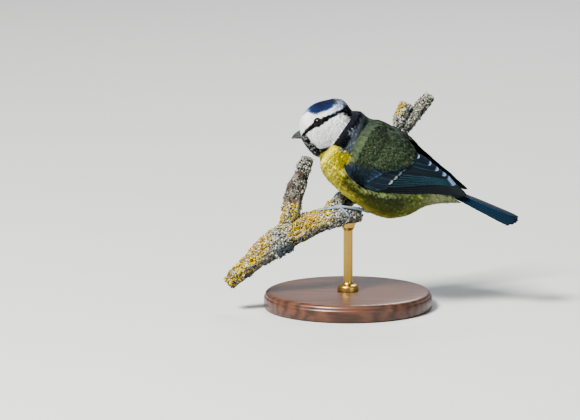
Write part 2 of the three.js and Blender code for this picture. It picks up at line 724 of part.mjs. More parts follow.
function buildPerch() {
  const group = new THREE.Group();
  const room = { lower: limbSolid(BARKS.lower, GAP), upper: limbSolid(BARKS.upper, GAP) };
  group.add(mesh("perch_lower_limb", limbSolid(BARKS.lower), "lichen"));
  group.add(mesh("perch_upper_limb", limbSolid(BARKS.upper).subtract(room.lower), "bark"));
  const frontSpur = limbSolid({ limb: FRONT_SPUR, phase: 2.9, around: 10, steps: 11 });
  const backSpur = limbSolid({ limb: BACK_SPUR, phase: 4.1, around: 10, steps: 6 });
  group.add(mesh("perch_front_spur", frontSpur.subtract(room.lower), "bark"));
  group.add(mesh("perch_back_spur", backSpur.subtract(room.upper), "bark"));
  return { group, room };
}

const { bird, flesh } = buildBird();
const { group: perch, room } = buildPerch();
const perchRoom = room.lower.add(room.upper);

const legs = new THREE.Group();
for (const side of ["left", "right"]) {
  const footSolid = foot(side);
  const footRoom = fuse([[0, 0, 0], [GAP, 0, 0], [-GAP, 0, 0], [0, 0, GAP], [0, 0, -GAP]].map((s) => footSolid.translate(s)));
  legs.add(mesh(`leg_${side}`, leg(side).subtract(flesh).subtract(footRoom).subtract(perchRoom), "leg"));
  legs.add(mesh(`foot_${side}`, footSolid.subtract(perchRoom), "leg"));
}

const stand = new THREE.Group();
stand.add(mesh("stand_base", base(), "wood"));
stand.add(mesh("stand_rod", rod().subtract(room.lower), "brass"));

const model = new THREE.Group();
model.name = "blue_tit_on_perch";
model.add(bird, legs, perch, stand);

export default model;
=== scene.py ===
# A blue tit gripping a short length of lichened branch, held up by a plain display stand.
# The bird's forms are given in millimetres in the frames of its trunk and its head, and every
# finished mesh is in metres in the part's frame: +Z up, the bird facing -X.
import math

import bmesh
import bpy
import numpy as np
from mathutils import Matrix, Vector, noise
from mathutils.bvhtree import BVHTree


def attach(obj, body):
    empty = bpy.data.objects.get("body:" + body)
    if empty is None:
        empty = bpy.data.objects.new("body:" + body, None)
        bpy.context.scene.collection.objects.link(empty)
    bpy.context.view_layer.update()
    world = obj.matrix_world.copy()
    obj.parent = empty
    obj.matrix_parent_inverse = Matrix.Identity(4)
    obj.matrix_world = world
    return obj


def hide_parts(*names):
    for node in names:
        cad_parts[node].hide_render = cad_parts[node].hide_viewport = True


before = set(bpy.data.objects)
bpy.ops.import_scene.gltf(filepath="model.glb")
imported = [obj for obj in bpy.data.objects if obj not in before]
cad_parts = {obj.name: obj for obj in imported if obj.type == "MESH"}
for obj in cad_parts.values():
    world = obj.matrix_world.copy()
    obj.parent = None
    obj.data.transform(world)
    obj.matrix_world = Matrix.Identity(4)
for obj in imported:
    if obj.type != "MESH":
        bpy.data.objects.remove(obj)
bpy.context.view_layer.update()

# The view: a long lens well off and a little above, as for a shy bird in a garden. The picture
# is 276 mm wide at the bird, and its middle lies ahead of the stand, level with the bird's chest.
view_dip = math.radians(10)
view_far = 2.5
aim_ahead = -0.0276
aim_up = 0.0462
view_aim = Vector((aim_ahead, aim_up * math.sin(view_dip), aim_up * math.cos(view_dip)))
long_lens = bpy.data.cameras.new("view")
long_lens.sensor_width = 36
long_lens.lens = 325.9
long_lens.clip_start = 0.3
long_lens.clip_end = 20
view = bpy.data.objects.new("view", long_lens)
view.location = view_aim - view_far * Vector((0, math.cos(view_dip), -math.sin(view_dip)))
view.rotation_euler = (math.pi / 2 - view_dip, 0, 0)
bpy.context.scene.collection.objects.link(view)
bpy.context.scene.camera = view


# The floor and the light: a sheet of pale paper under a large soft lamp high on the bird's front
# left, with a wide weak one opposite and a third behind that picks out the edge of the back.
def feed(made, values):
    """Sets a node's inputs, or links them where the value is a socket."""
    for key, value in values.items():
        if isinstance(value, bpy.types.NodeSocket):
            made.id_data.links.new(value, made.inputs[key])
        else:
            made.inputs[key].default_value = value


def node(tree, kind, values=None, out=0, **settings):
    """Adds a node to a tree and gives one of its outputs."""
    made = tree.nodes.new(kind)
    for key, value in settings.items():
        setattr(made, key, value)
    feed(made, values or {})
    return made.outputs[out]


def paint(code):
    """Linear colour of a six-digit sRGB code."""
    parts = [int(code[i : i + 2], 16) / 255 for i in (0, 2, 4)]
    return [c / 12.92 if c <= 0.04045 else ((c + 0.055) / 1.055) ** 2.4 for c in parts]


def blend(tree, share, first, second):
    """A colour between two, each given as a socket, a code or four numbers."""
    ends = [(*paint(c), 1) if isinstance(c, str) else c for c in (first, second)]
    return node(tree, "ShaderNodeMix", {"Factor": share, 6: ends[0], 7: ends[1]}, 2, data_type="RGBA")


def grain(tree, scale, detail, place=None, **more):
    """Even noise fixed to the object, or to a place that is given."""
    if place is None:
        place = node(tree, "ShaderNodeTexCoord", out="Object")
    return node(tree, "ShaderNodeTexNoise", {"Vector": place, "Scale": scale, "Detail": detail, **more})


def finish(name, **sockets):
    """A material with its shader's plain sockets set, its tree and its shader."""
    made = bpy.data.materials.new(name)
    made.use_nodes = True
    shader = made.node_tree.nodes["Principled BSDF"]
    feed(shader, {key.replace("_", " "): value for key, value in sockets.items()})
    return made, made.node_tree, shader


paper, tree, shader = finish("pale_paper", Roughness=0.9)
cloudy = grain(tree, 3.0, 3.0)
feed(shader, {"Base Color": blend(tree, cloudy, (0.44, 0.455, 0.455, 1), (0.47, 0.485, 0.485, 1))})
floor_half = 4
floor_drop = 0.0002
corner_signs = ((-1, -1), (1, -1), (1, 1), (-1, 1))
floor_corners = [(x * floor_half, y * floor_half, -floor_drop) for x, y in corner_signs]
floor_mesh = bpy.data.meshes.new("floor")
floor_mesh.from_pydata(floor_corners, [], [(0, 1, 2, 3)])
floor_mesh.materials.append(paper)
floor = bpy.data.objects.new("floor", floor_mesh)
bpy.context.scene.collection.objects.link(floor)

lamps_aim = Vector((0, 0, 0.06))
for name, place, size, power, tint in [
    ("key", (-0.80, -0.85, 1.45), 0.5, 100, (1.0, 0.96, 0.90)),
    ("fill", (0.9, -1.0, 0.55), 0.9, 5, (0.90, 0.95, 1.0)),
    ("edge", (0.25, 1.1, 1.0), 0.6, 10, (1.0, 1.0, 1.0)),
]:
    lamp = bpy.data.lights.new(name, "AREA")
    lamp.size = size
    lamp.energy = power
    lamp.color = tint
    lit = bpy.data.objects.new(name, lamp)
    lit.location = place
    lit.rotation_euler = (lamps_aim - Vector(place)).to_track_quat("-Z", "Y").to_euler()
    bpy.context.scene.collection.objects.link(lit)
sky = bpy.data.worlds.new("sky")
sky.use_nodes = True
feed(sky.node_tree.nodes["Background"], {"Color": (0.92, 0.95, 1.0, 1), "Strength": 0.29})
bpy.context.scene.world = sky
bpy.context.scene.view_settings.look = "AgX - Medium High Contrast"


# The bird's forms: a drop-shaped trunk with its back up at 29 degrees and a round head bent down
# over it, each given by sections from front to back, as place, back, belly and half width.
def through(places, values):
    """A smooth curve through pairs of place and value."""
    order = np.argsort(places)
    places = np.array(places, float)[order]
    values = np.array(values, float)[order]
    low = np.maximum(np.arange(len(values)) - 1, 0)
    high = np.minimum(np.arange(len(values)) + 1, len(values) - 1)
    slopes = (values[high] - values[low]) / (places[high] - places[low])

    def at(x):
        x = np.asarray(x, float)
        i = np.clip(np.searchsorted(places, x, side="left") - 1, 0, len(places) - 2)
        span = places[i + 1] - places[i]
        t = np.clip((x - places[i]) / span, 0, 1)
        rest = 1 - t
        ends = values[i] * (1 + 2 * t) * rest**2 + values[i + 1] * t * t * (3 - 2 * t)
        return ends + span * (slopes[i] * t * rest**2 - slopes[i + 1] * t * t * rest)

    return at


class Form:
    """A closed shape through sections. Turn is 0 at the back and grows towards the right side."""

    roundness = 0.92

    def __init__(self, rows):
        columns = list(zip(*rows))
        self.start = rows[0][0]
        self.end = rows[-1][0]
        self.top = through(columns[0], columns[1])
        self.bottom = through(columns[0], columns[2])
        self.half = through(columns[0], columns[3])

    def skin(self, place, turn, grow=0.0):
        place, turn, grow = np.broadcast_arrays(place, turn, grow)
        top = self.top(place) + grow
        bottom = self.bottom(place) - grow
        half = self.half(place) + grow
        side = np.sign(np.sin(turn)) * np.abs(np.sin(turn)) ** self.roundness
        tall = np.sign(np.cos(turn)) * np.abs(np.cos(turn)) ** self.roundness
        return np.stack([place, half * side, (top + bottom) / 2 + (top - bottom) / 2 * tall], -1)

    def find(self, points):
        """Place, turn in degrees from the back to the belly, and reach, which is 1 on the form."""
        place = np.clip(points[..., 0], min(self.start, self.end), max(self.start, self.end))
        top = self.top(place)
        bottom = self.bottom(place)
        side = np.abs(points[..., 1]) / self.half(place)
        tall = (points[..., 2] - (top + bottom) / 2) / ((top - bottom) / 2)
        power = 1 / self.roundness
        across = side**power
        up = np.sign(tall) * np.abs(tall) ** power
        return points[..., 0], np.degrees(np.arctan2(across, up)), np.hypot(across, up)


trunk = Form(
    [
        (-7, 13.6, -10.8, 10), (-3, 16.8, -14.8, 12.4), (2, 17.6, -17.8, 14.1), (8, 18.2, -19.9, 15.6),
        (14, 18.9, -21.4, 16.4), (22, 18.5, -22.3, 16.8), (30, 16.8, -23.1, 16.2), (36, 15, -22, 14.8),
        (41, 13.3, -19.4, 12.9), (45, 12, -15.9, 11), (49, 10.9, -9.8, 9), (53, 10, -5.4, 7.2),
        (58, 9.1, -1.8, 5.6), (66, 8.2, 2.6, 3.6),
    ]
)
under_wing = Form(
    [
        (4, 14, -14, 12.2), (10, 16.4, -17.5, 14.2), (18, 17, -20.5, 14.9), (26, 16.2, -21.5, 14.8),
        (34, 14.6, -19.5, 13.6), (42, 12.9, -13, 11.6), (50, 11.5, -5, 9.2), (58, 10.6, 0.6, 6.8),
        (64, 10, 3.2, 5.2), (70, 9.5, 4.6, 4.2),
    ]
)
skull = Form(
    [
        (-13.6, 2.6, -4.2, 2.6), (-12.9, 4.9, -6.8, 4.4), (-11.4, 7.3, -10.2, 6.7), (-9, 9.6, -12.3, 8.9),
        (-5.5, 11.4, -13, 10.7), (-1.5, 12.2, -13.4, 11.5), (3, 11.9, -13.2, 11.5), (7, 11.1, -12.4, 10.7),
        (10.5, 9.2, -10.5, 9), (13.5, 4.6, -7, 6.2),
    ]
)


def placed(at, pitch, roll):
    """From millimetres in a leaning frame to metres in the part's frame."""
    turn = Matrix.Rotation(math.radians(pitch), 4, "Y") @ Matrix.Rotation(math.radians(roll), 4, "X")
    return np.array(Matrix.Translation([0.001 * v for v in at]) @ turn @ Matrix.Scale(0.001, 4))


def through_matrix(matrix, points):
    return np.asarray(points) @ matrix[:3, :3].T + matrix[:3, 3]


trunk_place = placed((-4.8, -2, 80.6), 29.5, 10)
skull_place = placed((-10, -2.6, 87.6), -23, 3)
into_trunk = np.linalg.inv(trunk_place)
into_skull = np.linalg.inv(skull_place)


def soft_step(x, low, high):
    """Nought below the low limit, one above the high one, and smooth between."""
    t = np.clip((np.asarray(x, float) - low) / (high - low), 0, 1)
    return t * t * (3 - 2 * t)


def soft_fall(x, low, high):
    """One below the low limit, nought above the high one, and smooth between."""
    return soft_step(-np.asarray(x, float), -high, -low)


def mix(a, b, share):
    share = np.asarray(share, float)[..., None]
    return np.asarray(a, float) * (1 - share) + np.asarray(b, float) * share


def turned_form(form, around, rings, grow=0.0, shape=None):
    """Points and faces of a closed form that is blunt at both ends."""
    shape = shape or Form.skin
    run = (1 - np.cos(np.pi * np.arange(1, rings) / rings)) / 2
    blunt = np.sqrt(np.maximum(0, 1 - np.abs(2 * run - 1) ** 12))[:, None]
    place = (form.start + (form.end - form.start) * run)[:, None]
    turn = (np.arange(around) / around * 2 * np.pi)[None, :]
    points = shape(form, place, turn, grow)
    middle = (form.top(place) + form.bottom(place)) / 2
    points[..., 1] *= blunt
    points[..., 2] = middle + (points[..., 2] - middle) * blunt
    ends = [
        (at, 0, float(form.top(at) + form.bottom(at)) / 2) for at in (form.start, form.end)
    ]
    return closed_rings(points, ends)


def closed_rings(points, ends):
    """Faces over rings of points, closed with a point at each end."""
    rings, around = points.shape[:2]
    count = rings * around
    faces = []
    for i in range(rings - 1):
        for j in range(around):
            k = (j + 1) % around
            faces.append((i * around + j, (i + 1) * around + j, (i + 1) * around + k, i * around + k))
    for j in range(around):
        k = (j + 1) % around
        faces.append((count, j, k))
        faces.append((count + 1, (rings - 1) * around + k, (rings - 1) * around + j))
    return np.vstack([points.reshape(-1, 3), ends]), faces


def made_object(name, points, faces, material, facts=None):
    """A mesh object in metres. Facts are named lists with one number, vector or colour a point."""
    mesh = bpy.data.meshes.new(name)
    mesh.from_pydata(np.asarray(points, float).tolist(), [], faces)
    for key, values in (facts or {}).items():
        set_fact(mesh, key, values)
    mesh.materials.append(material)
    mesh.shade_smooth()
    made = bpy.data.objects.new(name, mesh)
    bpy.context.scene.collection.objects.link(made)
    facing_out(mesh)
    return made


def set_fact(mesh, key, values):
    values = np.asarray(values, np.float32)
    if values.ndim == 1:
        fact = mesh.attributes.new(key, "FLOAT", "POINT")
        fact.data.foreach_set("value", values)
    elif key in ("hue", "edge_hue", "tip_hue"):
        fact = mesh.attributes.new(key, "FLOAT_COLOR", "POINT")
        fact.data.foreach_set("color", np.hstack([values, np.ones((len(values), 1), np.float32)]).ravel())
    else:
        fact = mesh.attributes.new(key, "FLOAT_VECTOR", "POINT")
        fact.data.foreach_set("vector", values.ravel())


def facing_out(mesh):
    work = bmesh.new()
    work.from_mesh(mesh)
    bmesh.ops.recalc_face_normals(work, faces=work.faces)
    work.to_mesh(mesh)
    work.free()


def evaluated(obj):
    """The object's mesh with its modifiers worked in, and the modifiers gone."""
    depsgraph = bpy.context.evaluated_depsgraph_get()
    fresh = bpy.data.meshes.new_from_object(obj.evaluated_get(depsgraph))
    obj.modifiers.clear()
    old = obj.data
    obj.data = fresh
    bpy.data.meshes.remove(old)
    fresh.name = obj.name
    return fresh


def points_of(mesh):
    out = np.empty(len(mesh.vertices) * 3)
    mesh.vertices.foreach_get("co", out)
    return out.reshape(-1, 3)


def normals_of(mesh):
    out = np.empty(len(mesh.vertices) * 3, np.float32)
    mesh.vertex_normals.foreach_get("vector", out)
    return out.reshape(-1, 3).astype(float)


# The plumage's colours: a cobalt cap in a white ring, a black line through the eye, white cheeks,
# a black bib and collar, lemon breast and belly, and a back of dull green. One function gives
# them for any place on the bird, and the skin and every feather on it take theirs from it.
plume_codes = {
    "white": "f1f3f4", "cheek": "eef0f1", "ice": "9cb2cd", "cobalt": "172a54", "deep": "0c1530",
    "black": "08090c", "navy": "090f1b", "lilac": "77828f", "lemon": "ece164", "yolk": "cbbf36",
    "shaded_olive": "485026", "shaded_buff": "76803f", "shaded_vent": "8f966f", "moss": "48543d", "moss_dark": "28352f",
    "rump": "445a3a", "steel": "2b3b47", "ink": "0c1116", "pale_streak": "727f5b", "dark_streak": "1b2622",
}
plume = {name: paint(code) for name, code in plume_codes.items()}

# Edges of the markings, as places along a form and degrees round it from the back, or the other
# way about where a marking runs round the neck.
cap_edge = (
    [-9.6, -8.6, -5.6, -4.9, -4.0, -2.6, -0.4, 2.6, 4.8, 6.2, 9.4, 11.4],
    [-4, 8, 15, 27, 34, 42, 43, 43, 41, 36, 22, -4],
)
stripe_line = (
    [-13.6, -10.4, -8.4, -5.4, -2.2, 1.7, 4.3, 7, 9.5, 12],
    [66, 66, 66, 64, 65, 62, 60, 57, 55, 52],
)
stripe_half = (
    [-13.6, -10.4, -8, -4.8, -2.6, 0.4, 3.6, 7, 9.5, 12],
    [4.5, 6, 6, 7.2, 8.4, 6.8, 4.8, 5, 6.5, 10],
)
nape_line = (
    [0, 10, 42, 54, 58, 63, 77, 89, 98, 109, 114, 117],
    [12, 11.7, 10.4, 8.2, 7.8, 9.0, 11.2, 10.9, 9.4, 7.4, 5.3, 3.2],
)
cheek_foot = (
    [-10.8, -9.9, -8.4, -7.4, -5.5, -2.5, 0.3, 3.2, 7.4, 9.5],
    [73, 90, 103, 117, 120, 121, 122, 117, 109, 97],
)
yellow_top = (
    [-10.6, -10.1, -9, -7.5, -4.8, -2.1, 0.9, 2.1, 6],
    [180, 160, 146, 135, 133, 130, 125, 124, 118],
)
yellow_side = ([0, 12, 30, 50], [78, 92, 90, 84])
collar_back = ([0, 29, 45, 58, 64, 73, 82, 92], [2.4, 3.2, 2.2, 1.2, 2.6, 2.8, 3.0, -1.0])
lilac_back = ([0, 30, 44, 56, 68, 75, 90], [4.0, 4.8, 5.2, 5.8, 6.0, 6.6, 2.0])
yellow_front = ([60, 84, 90, 98, 113, 144, 172, 180], [0.2, -0.1, -0.9, -1.9, -3.2, -4.4, -3.9, -3.9])
green_foot = ([6, 9.7, 21, 27, 32.1, 36], [93, 92, 81, 69, 54, 40])
noise_waves = [(2.1, 1.3, -0.7, 0.3), (-1.1, 2.4, 1.9, 1.7), (0.6, -1.7, 2.8, 4.1), (3.1, 0.4, -2.2, 2.9)]


def ragged(points, size, seed=0.0):
    """Even noise from -1 to 1 at points in millimetres, for edges that feathers break up."""
    p = np.asarray(points) / size + seed * 7.31
    waves = np.zeros(len(p))
    for turn, (a, b, c, d) in enumerate(noise_waves):
        waves += np.sin(a * p[:, 0] + b * p[:, 1] + c * p[:, 2] + d + seed * (turn + 1))
        p = p * 1.37 + 0.5
    return waves / 2.6


def skull_colour(p):
    place, turn, reach = skull.find(p)
    turn = turn + 1.6 * ragged(p, 0.8, 1)
    place = place + 0.22 * ragged(p, 0.7, 2)
    frayed = 2.4 * ragged(np.stack([place * 0.25, turn * 0.2, 0 * place], 1), 0.35, 9)
    cap = soft_step(np.interp(place, *cap_edge) - turn + frayed, -4.5, 4.5)
    off_line = np.abs(turn - np.interp(place, *stripe_line))
    line = soft_step(np.interp(place, *stripe_half) - off_line, -1.4, 1.4)
    nape = soft_step(place - np.interp(turn, *nape_line), -0.5, 0.5)
    chin = soft_step(-place - 10.6 + 0.035 * (turn - 62), -0.3, 0.3) * (turn > 71)
    bib = np.maximum(soft_step(turn - np.interp(place, *cheek_foot), -2.2, 2.2), chin)
    breast = soft_step(turn - np.interp(place, *yellow_top), -3, 3) * soft_step(place, -10.9, -9.9)

    colour = mix(plume["white"], plume["cheek"], soft_step(turn, 60, 78) * soft_step(place, -8, 0))
    # Painted shade: behind the eye the white of the brow is greyed towards ice blue.
    brow_shade = soft_step(place, 1.5, 7.5) * (turn < 56)
    colour = mix(colour, plume["ice"], 0.75 * brow_shade)
    blue = mix(plume["ice"], plume["cobalt"], soft_step(place, -7.8, -3.8))
    blue = mix(blue, plume["deep"], soft_step(place, -3.5, 0.5) * 0.75 * soft_step(30 - turn, -6, 14))
    blue = mix(blue, plume["ice"], soft_step(place, 6.6, 10.2) * 0.8)
    colour = mix(colour, blue, cap)
    dark = mix(plume["black"], plume["navy"], soft_step(place, 2, 9))
    colour = mix(colour, dark, np.maximum(line, nape))
    speck = soft_step(ragged(p, 0.45, 8), 0.25, 0.7) * 0.55
    colour = mix(colour, mix(plume["black"], plume["cheek"], speck), bib)
    return mix(colour, plume["lemon"], breast)


def streaked_green(p, place, turn):
    """Dull green with fine lighter and darker streaks along the lie, and painted shade that makes it darker
    and a little bluer towards the spine.
    """
    streak = ragged(np.stack([place * 0.09, turn * 0.26, 0 * place], 1), 0.42, 7)
    # Painted shade: the green darkens towards the spine, against the light that falls on the back from above.
    darkness = 0.3 + 0.1 * ragged(p, 2.4, 5) + 0.6 * soft_fall(turn, 10, 54)
    green = mix(plume["moss"], plume["moss_dark"], darkness)
    green = mix(green, plume["pale_streak"], 0.28 * soft_step(streak, 0.2, 0.9))
    return mix(green, plume["dark_streak"], 0.32 * soft_step(-streak, 0.2, 0.9))


def trunk_colour(p):
    place, turn, reach = trunk.find(p)
    place = place + 0.5 * ragged(p, 1.1, 3)
    turn = turn + 2.2 * ragged(p, 1.3, 4)
    green = streaked_green(p, place, turn)
    green = mix(green, plume["rump"], soft_step(place, 36, 46))
    green = mix(green, plume["steel"], soft_step(place, 52, 60) * 0.7)
    # Lemon down the belly's middle, darker yellow and olive at the sides, and a darker olive band down the
    # side of the breast: partly the bird's own olive flanks, partly painted shade, the band being the painted
    # shadow side of the breast.
    yellow = mix(plume["yolk"], plume["lemon"], soft_step(turn, 96, 140))
    yellow = mix(yellow, plume["shaded_olive"], 0.92 * soft_step(place, 4, 12) * soft_fall(turn, 122, 152))
    yellow = mix(yellow, plume["shaded_olive"], 0.6 * soft_step(place, 12, 26))
    yellow = mix(yellow, plume["moss"], 0.6 * soft_step(place, 10, 18) * soft_fall(turn, 104, 128))
    # The buff belly's rear and the pale vent are darker and greener than the bird's own: partly their own
    # colour, partly painted shade under the bird.
    yellow = mix(yellow, plume["shaded_buff"], soft_step(place, 36, 47) * 0.7)
    keel = 0.35 * soft_step(turn, 166, 175) * soft_step(place, 4, 12) * soft_fall(place, 26, 34)
    yellow = mix(yellow, plume["lilac"], keel)
    yellow = mix(yellow, plume["shaded_vent"], soft_step(place, 45, 54))
    colour = mix(green, yellow, soft_step(turn - np.interp(place, *yellow_side), -4, 4))
    lilac = soft_step(np.interp(turn, *lilac_back) - place, -1.8, 1.4) * (turn < 88)
    colour = mix(colour, plume["lilac"], lilac * (0.5 + 0.4 * soft_step(turn, 10, 40)))
    dark = mix(plume["navy"], plume["black"], soft_step(turn, 55, 85))
    collar = soft_step(np.interp(turn, *collar_back) - place, -0.6, 0.6) * soft_fall(turn, 86, 94)
    bib = soft_step(np.interp(turn, *yellow_front) - place, -0.5, 0.5) * soft_step(turn, 84, 90)
    return mix(colour, dark, np.maximum(collar, bib))


def shoulder_colour(p):
    place, turn, reach = under_wing.find(p)
    turn = turn + 3 * ragged(p, 1.2, 6)
    blue = mix(plume["steel"], plume["ink"], soft_step(turn, 92, 106) * 0.7)
    return mix(streaked_green(p, place, turn), blue, soft_step(turn - np.interp(place, *green_foot), -5, 5))


def plumage(points, on_shoulder=None):
    """The bird's colour at points in metres."""
    in_trunk = through_matrix(into_trunk, points)
    in_skull = through_matrix(into_skull, points)
    place, turn, reach = skull.find(in_skull)
    head = soft_fall(reach, 1.03, 1.13) * soft_fall(place, 12, 13.2)
    colour = mix(trunk_colour(in_trunk), skull_colour(in_skull), head)
    if on_shoulder is None:
        return colour
    return mix(colour, shoulder_colour(in_trunk), on_shoulder)


# The skin, from the bill to the tail's root in one piece: trunk, head, feathered shanks and the
# muscle of the folded arms, run together and smoothed so that no join shows. It lies inside the
# bird's outline by the depth of the coat, and wears the coat's colours where that parts.
COAT_DEPTH = 0.55
HEAD_COAT_DEPTH = 0.42
BED_DEPTH = 0.35
PAD_START = 6.5
low_edge = through([6, 16, 25, 36, 49, 60], [103, 109, 100, 89, 86, 76])


def nested_trunk(form, place, turn, grow):
    """The trunk with the bed of the folded wing pressed into each side."""
    open_side = form.skin(place, turn, grow)
    bed = under_wing.skin(place, turn, grow - BED_DEPTH)
    around = np.abs(np.where(turn > np.pi, turn - 2 * np.pi, turn))
    side, at = np.broadcast_arrays(np.degrees(around), place)
    high = 11 - 19 * soft_step(at, 30, 36)
    share = soft_step((side - high + 6) / 6, 0, 1) * soft_step(low_edge(at) + 9 - side, 0, 6)
    share = share * soft_step(at, 3.5, 7)
    middle = (form.top(at) + form.bottom(at)) / 2
    bed_out = np.hypot(bed[..., 1], bed[..., 2] - middle)
    inside = bed_out < np.hypot(open_side[..., 1], open_side[..., 2] - middle)
    return np.where(inside[..., None], mix(open_side, bed, share), open_side)


def pad_end_at(up):
    """How far back the arm reaches, from its lower edge at 0 to its upper one at 1."""
    return 22 + 10 * soft_step(up, 0, 0.75)


def shoulder_pad(side):
    """The arm under the small coverts, as a closed pad that thins towards its edges."""
    along, across = np.meshgrid(np.linspace(0, 1, 25), np.linspace(-1, 1, 25), indexing="ij")
    up = (across + 1) / 2
    round_off = 3.2 * np.abs(across) ** 3
    place = PAD_START + round_off + (pad_end_at(up) - round_off * 0.5 - PAD_START - round_off) * along
    turn = np.radians((low_edge(place) + 1) * (1 - up) + 12 * up)
    crown = np.sin(np.pi * np.clip(along, 0.04, 0.96)) ** 0.5 * np.cos(across * np.pi / 2.6) ** 0.5
    outer = under_wing.skin(place, side * turn, 0.9 + 1.4 * crown - COAT_DEPTH)
    inner = under_wing.skin(place, side * turn, np.full_like(crown, -2.0))
    return closed_sheet(outer, inner)


def quads_of(index):
    """Four-sided faces over a grid of point numbers."""
    return np.stack([index[:-1, :-1], index[1:, :-1], index[1:, 1:], index[:-1, 1:]], -1).reshape(-1, 4)


def closed_sheet(outer, inner):
    """Points and faces of a sheet with two like sides, closed round its edge."""
    rows, columns = outer.shape[:2]
    count = rows * columns
    index = np.arange(count).reshape(rows, columns)
    near = quads_of(index)
    faces = near.tolist() + (near[:, ::-1] + count).tolist()
    rim = np.concatenate([index[0, :], index[1:, -1], index[-1, -2::-1], index[-2:0:-1, 0]])
    following = np.roll(rim, -1)
    faces += np.stack([rim, following, following + count, rim + count], -1).tolist()
    return np.vstack([outer.reshape(-1, 3), inner.reshape(-1, 3)]), faces


def rounded_drop(middle, size, tilt):
    """A ball drawn out to a size, in the units of its middle and size."""
    work = bmesh.new()
    bmesh.ops.create_icosphere(work, subdivisions=4, radius=1)
    turn = Matrix.Rotation(math.radians(tilt), 4, "Y") @ Matrix.Diagonal((*size, 1))
    bmesh.ops.transform(work, matrix=Matrix.Translation(middle) @ turn, verts=work.verts)
    points = [tuple(v.co) for v in work.verts]
    faces = [[v.index for v in f.verts] for f in work.faces]
    work.free()
    return np.array(points), faces


def joined(pieces):
    """Points and faces of several pieces as one."""
    points = []
    faces = []
    offset = 0
    for own, own_faces in pieces:
        points.append(own)
        faces += [[offset + i for i in face] for face in own_faces]
        offset += len(own)
    return np.vstack(points), faces


def fact_in(tree, name, out="Fac"):
    """A named fact of the mesh, as one number unless its colour or vector is asked for."""
    return node(tree, "ShaderNodeAttribute", None, out, attribute_name=name)


def ranged(tree, value, low, high, start=0.0, stop=1.0, soft=False):
    """A number that runs from low to high while another runs from start to stop."""
    ends = {"Value": value, "From Min": start, "From Max": stop, "To Min": low, "To Max": high}
    ease = "SMOOTHSTEP" if soft else "LINEAR"
    return node(tree, "ShaderNodeMapRange", ends, interpolation_type=ease)


def toned(tree, colour, value):
    """A colour made lighter or darker."""
    return node(tree, "ShaderNodeHueSaturation", {"Color": colour, "Value": value})


def bumped(tree, height, strength, distance, **more):
    heights = {"Height": height, "Strength": strength, "Distance": distance, **more}
    return node(tree, "ShaderNodeBump", heights)


flesh = [
    (turned_form(trunk, 96, 110, -COAT_DEPTH, nested_trunk), trunk_place),
    (turned_form(skull, 96, 70, -HEAD_COAT_DEPTH), skull_place),
    (shoulder_pad(-1), trunk_place),
    (shoulder_pad(1), trunk_place),
]
flesh_pieces = [(through_matrix(matrix, points), faces) for (points, faces), matrix in flesh]
shank_middles = [(11.1, -4.3, 49.0), (12.6, 6.1, 52.0)]
for middle in shank_middles:
    flesh_pieces.append(rounded_drop([0.001 * v for v in middle], (0.0036, 0.0022, 0.0021), 24))
flesh_points, flesh_faces = joined(flesh_pieces)

plumage_skin, tree, shader = finish(
    "plumage_down", Roughness=0.85, Sheen_Weight=0.25, Specular_IOR_Level=0.25
)
down = grain(tree, 900.0, 3.0)
down_colour = toned(tree, fact_in(tree, "hue", "Color"), ranged(tree, down, 0.6, 1.0))
feed(shader, {"Base Color": down_colour, "Normal": bumped(tree, down, 0.5, 0.0003)})

skin = made_object("skin", flesh_points, flesh_faces, plumage_skin)
remesh = skin.modifiers.new("one_surface", "REMESH")
remesh.mode = "VOXEL"
remesh.voxel_size = 0.00048
soften = skin.modifiers.new("soften", "SMOOTH")
soften.factor = 0.5
soften.iterations = 9
skin_mesh = evaluated(skin)
skin_mesh.materials.clear()
skin_mesh.materials.append(plumage_skin)
skin_mesh.shade_smooth()
skin_points = points_of(skin_mesh)
# The arm's front rim and its line along the back are smoothed much further than the rest.
pad_place, pad_turn = under_wing.find(through_matrix(into_trunk, skin_points))[:2]
front_rim = soft_step(pad_place, 0, 4) * soft_fall(pad_place, 10, 16) * soft_fall(pad_turn, 98, 112)
back_line = soft_step(pad_place, 2, 8) * soft_fall(pad_place, 34, 40) * soft_fall(pad_turn, 18, 30)
pad_rim = np.maximum(front_rim, back_line)
skin_edges = np.empty(len(skin_mesh.edges) * 2, np.int32)
skin_mesh.edges.foreach_get("vertices", skin_edges)
edge_a, edge_b = skin_edges.reshape(-1, 2).T
beside = np.bincount(edge_a, minlength=len(skin_points)) + np.bincount(edge_b, minlength=len(skin_points))
for step in range(90):
    total = np.empty_like(skin_points)
    for k in range(3):
        total[:, k] = np.bincount(edge_a, skin_points[edge_b, k], len(skin_points))
        total[:, k] += np.bincount(edge_b, skin_points[edge_a, k], len(skin_points))
    skin_points += (0.6 * pad_rim)[:, None] * (total / beside[:, None] - skin_points)
skin_mesh.vertices.foreach_set("co", skin_points.ravel())
skin_mesh.update()
skin_normals = normals_of(skin_mesh)
skin_in_trunk = through_matrix(into_trunk, skin_points)
skin_in_skull = through_matrix(into_skull, skin_points)
pad_place, pad_turn = under_wing.find(skin_in_trunk)[:2]
on_pad = soft_step(pad_turn, 9, 15) * soft_step(low_edge(pad_place) + 4 - pad_turn, 0, 3)
on_pad = on_pad * soft_step(pad_place, PAD_START, 9.5)
on_pad = on_pad * soft_step(pad_end_at(1 - (pad_turn - 12) / 90) - pad_place, -1.5, 0.5)
set_fact(skin_mesh, "hue", plumage(skin_points, on_pad))
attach(skin, "root")
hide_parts("head", "neck", "torso")


# The wing and tail feathers: stiff vanes on a raised shaft, laid like shingles, the innermost on
# top. Each is its own thin closed sheet with its own web, fringe and tip colours.
def maths(tree, kind, *terms):
    return node(tree, "ShaderNodeMath", dict(enumerate(terms)), operation=kind)


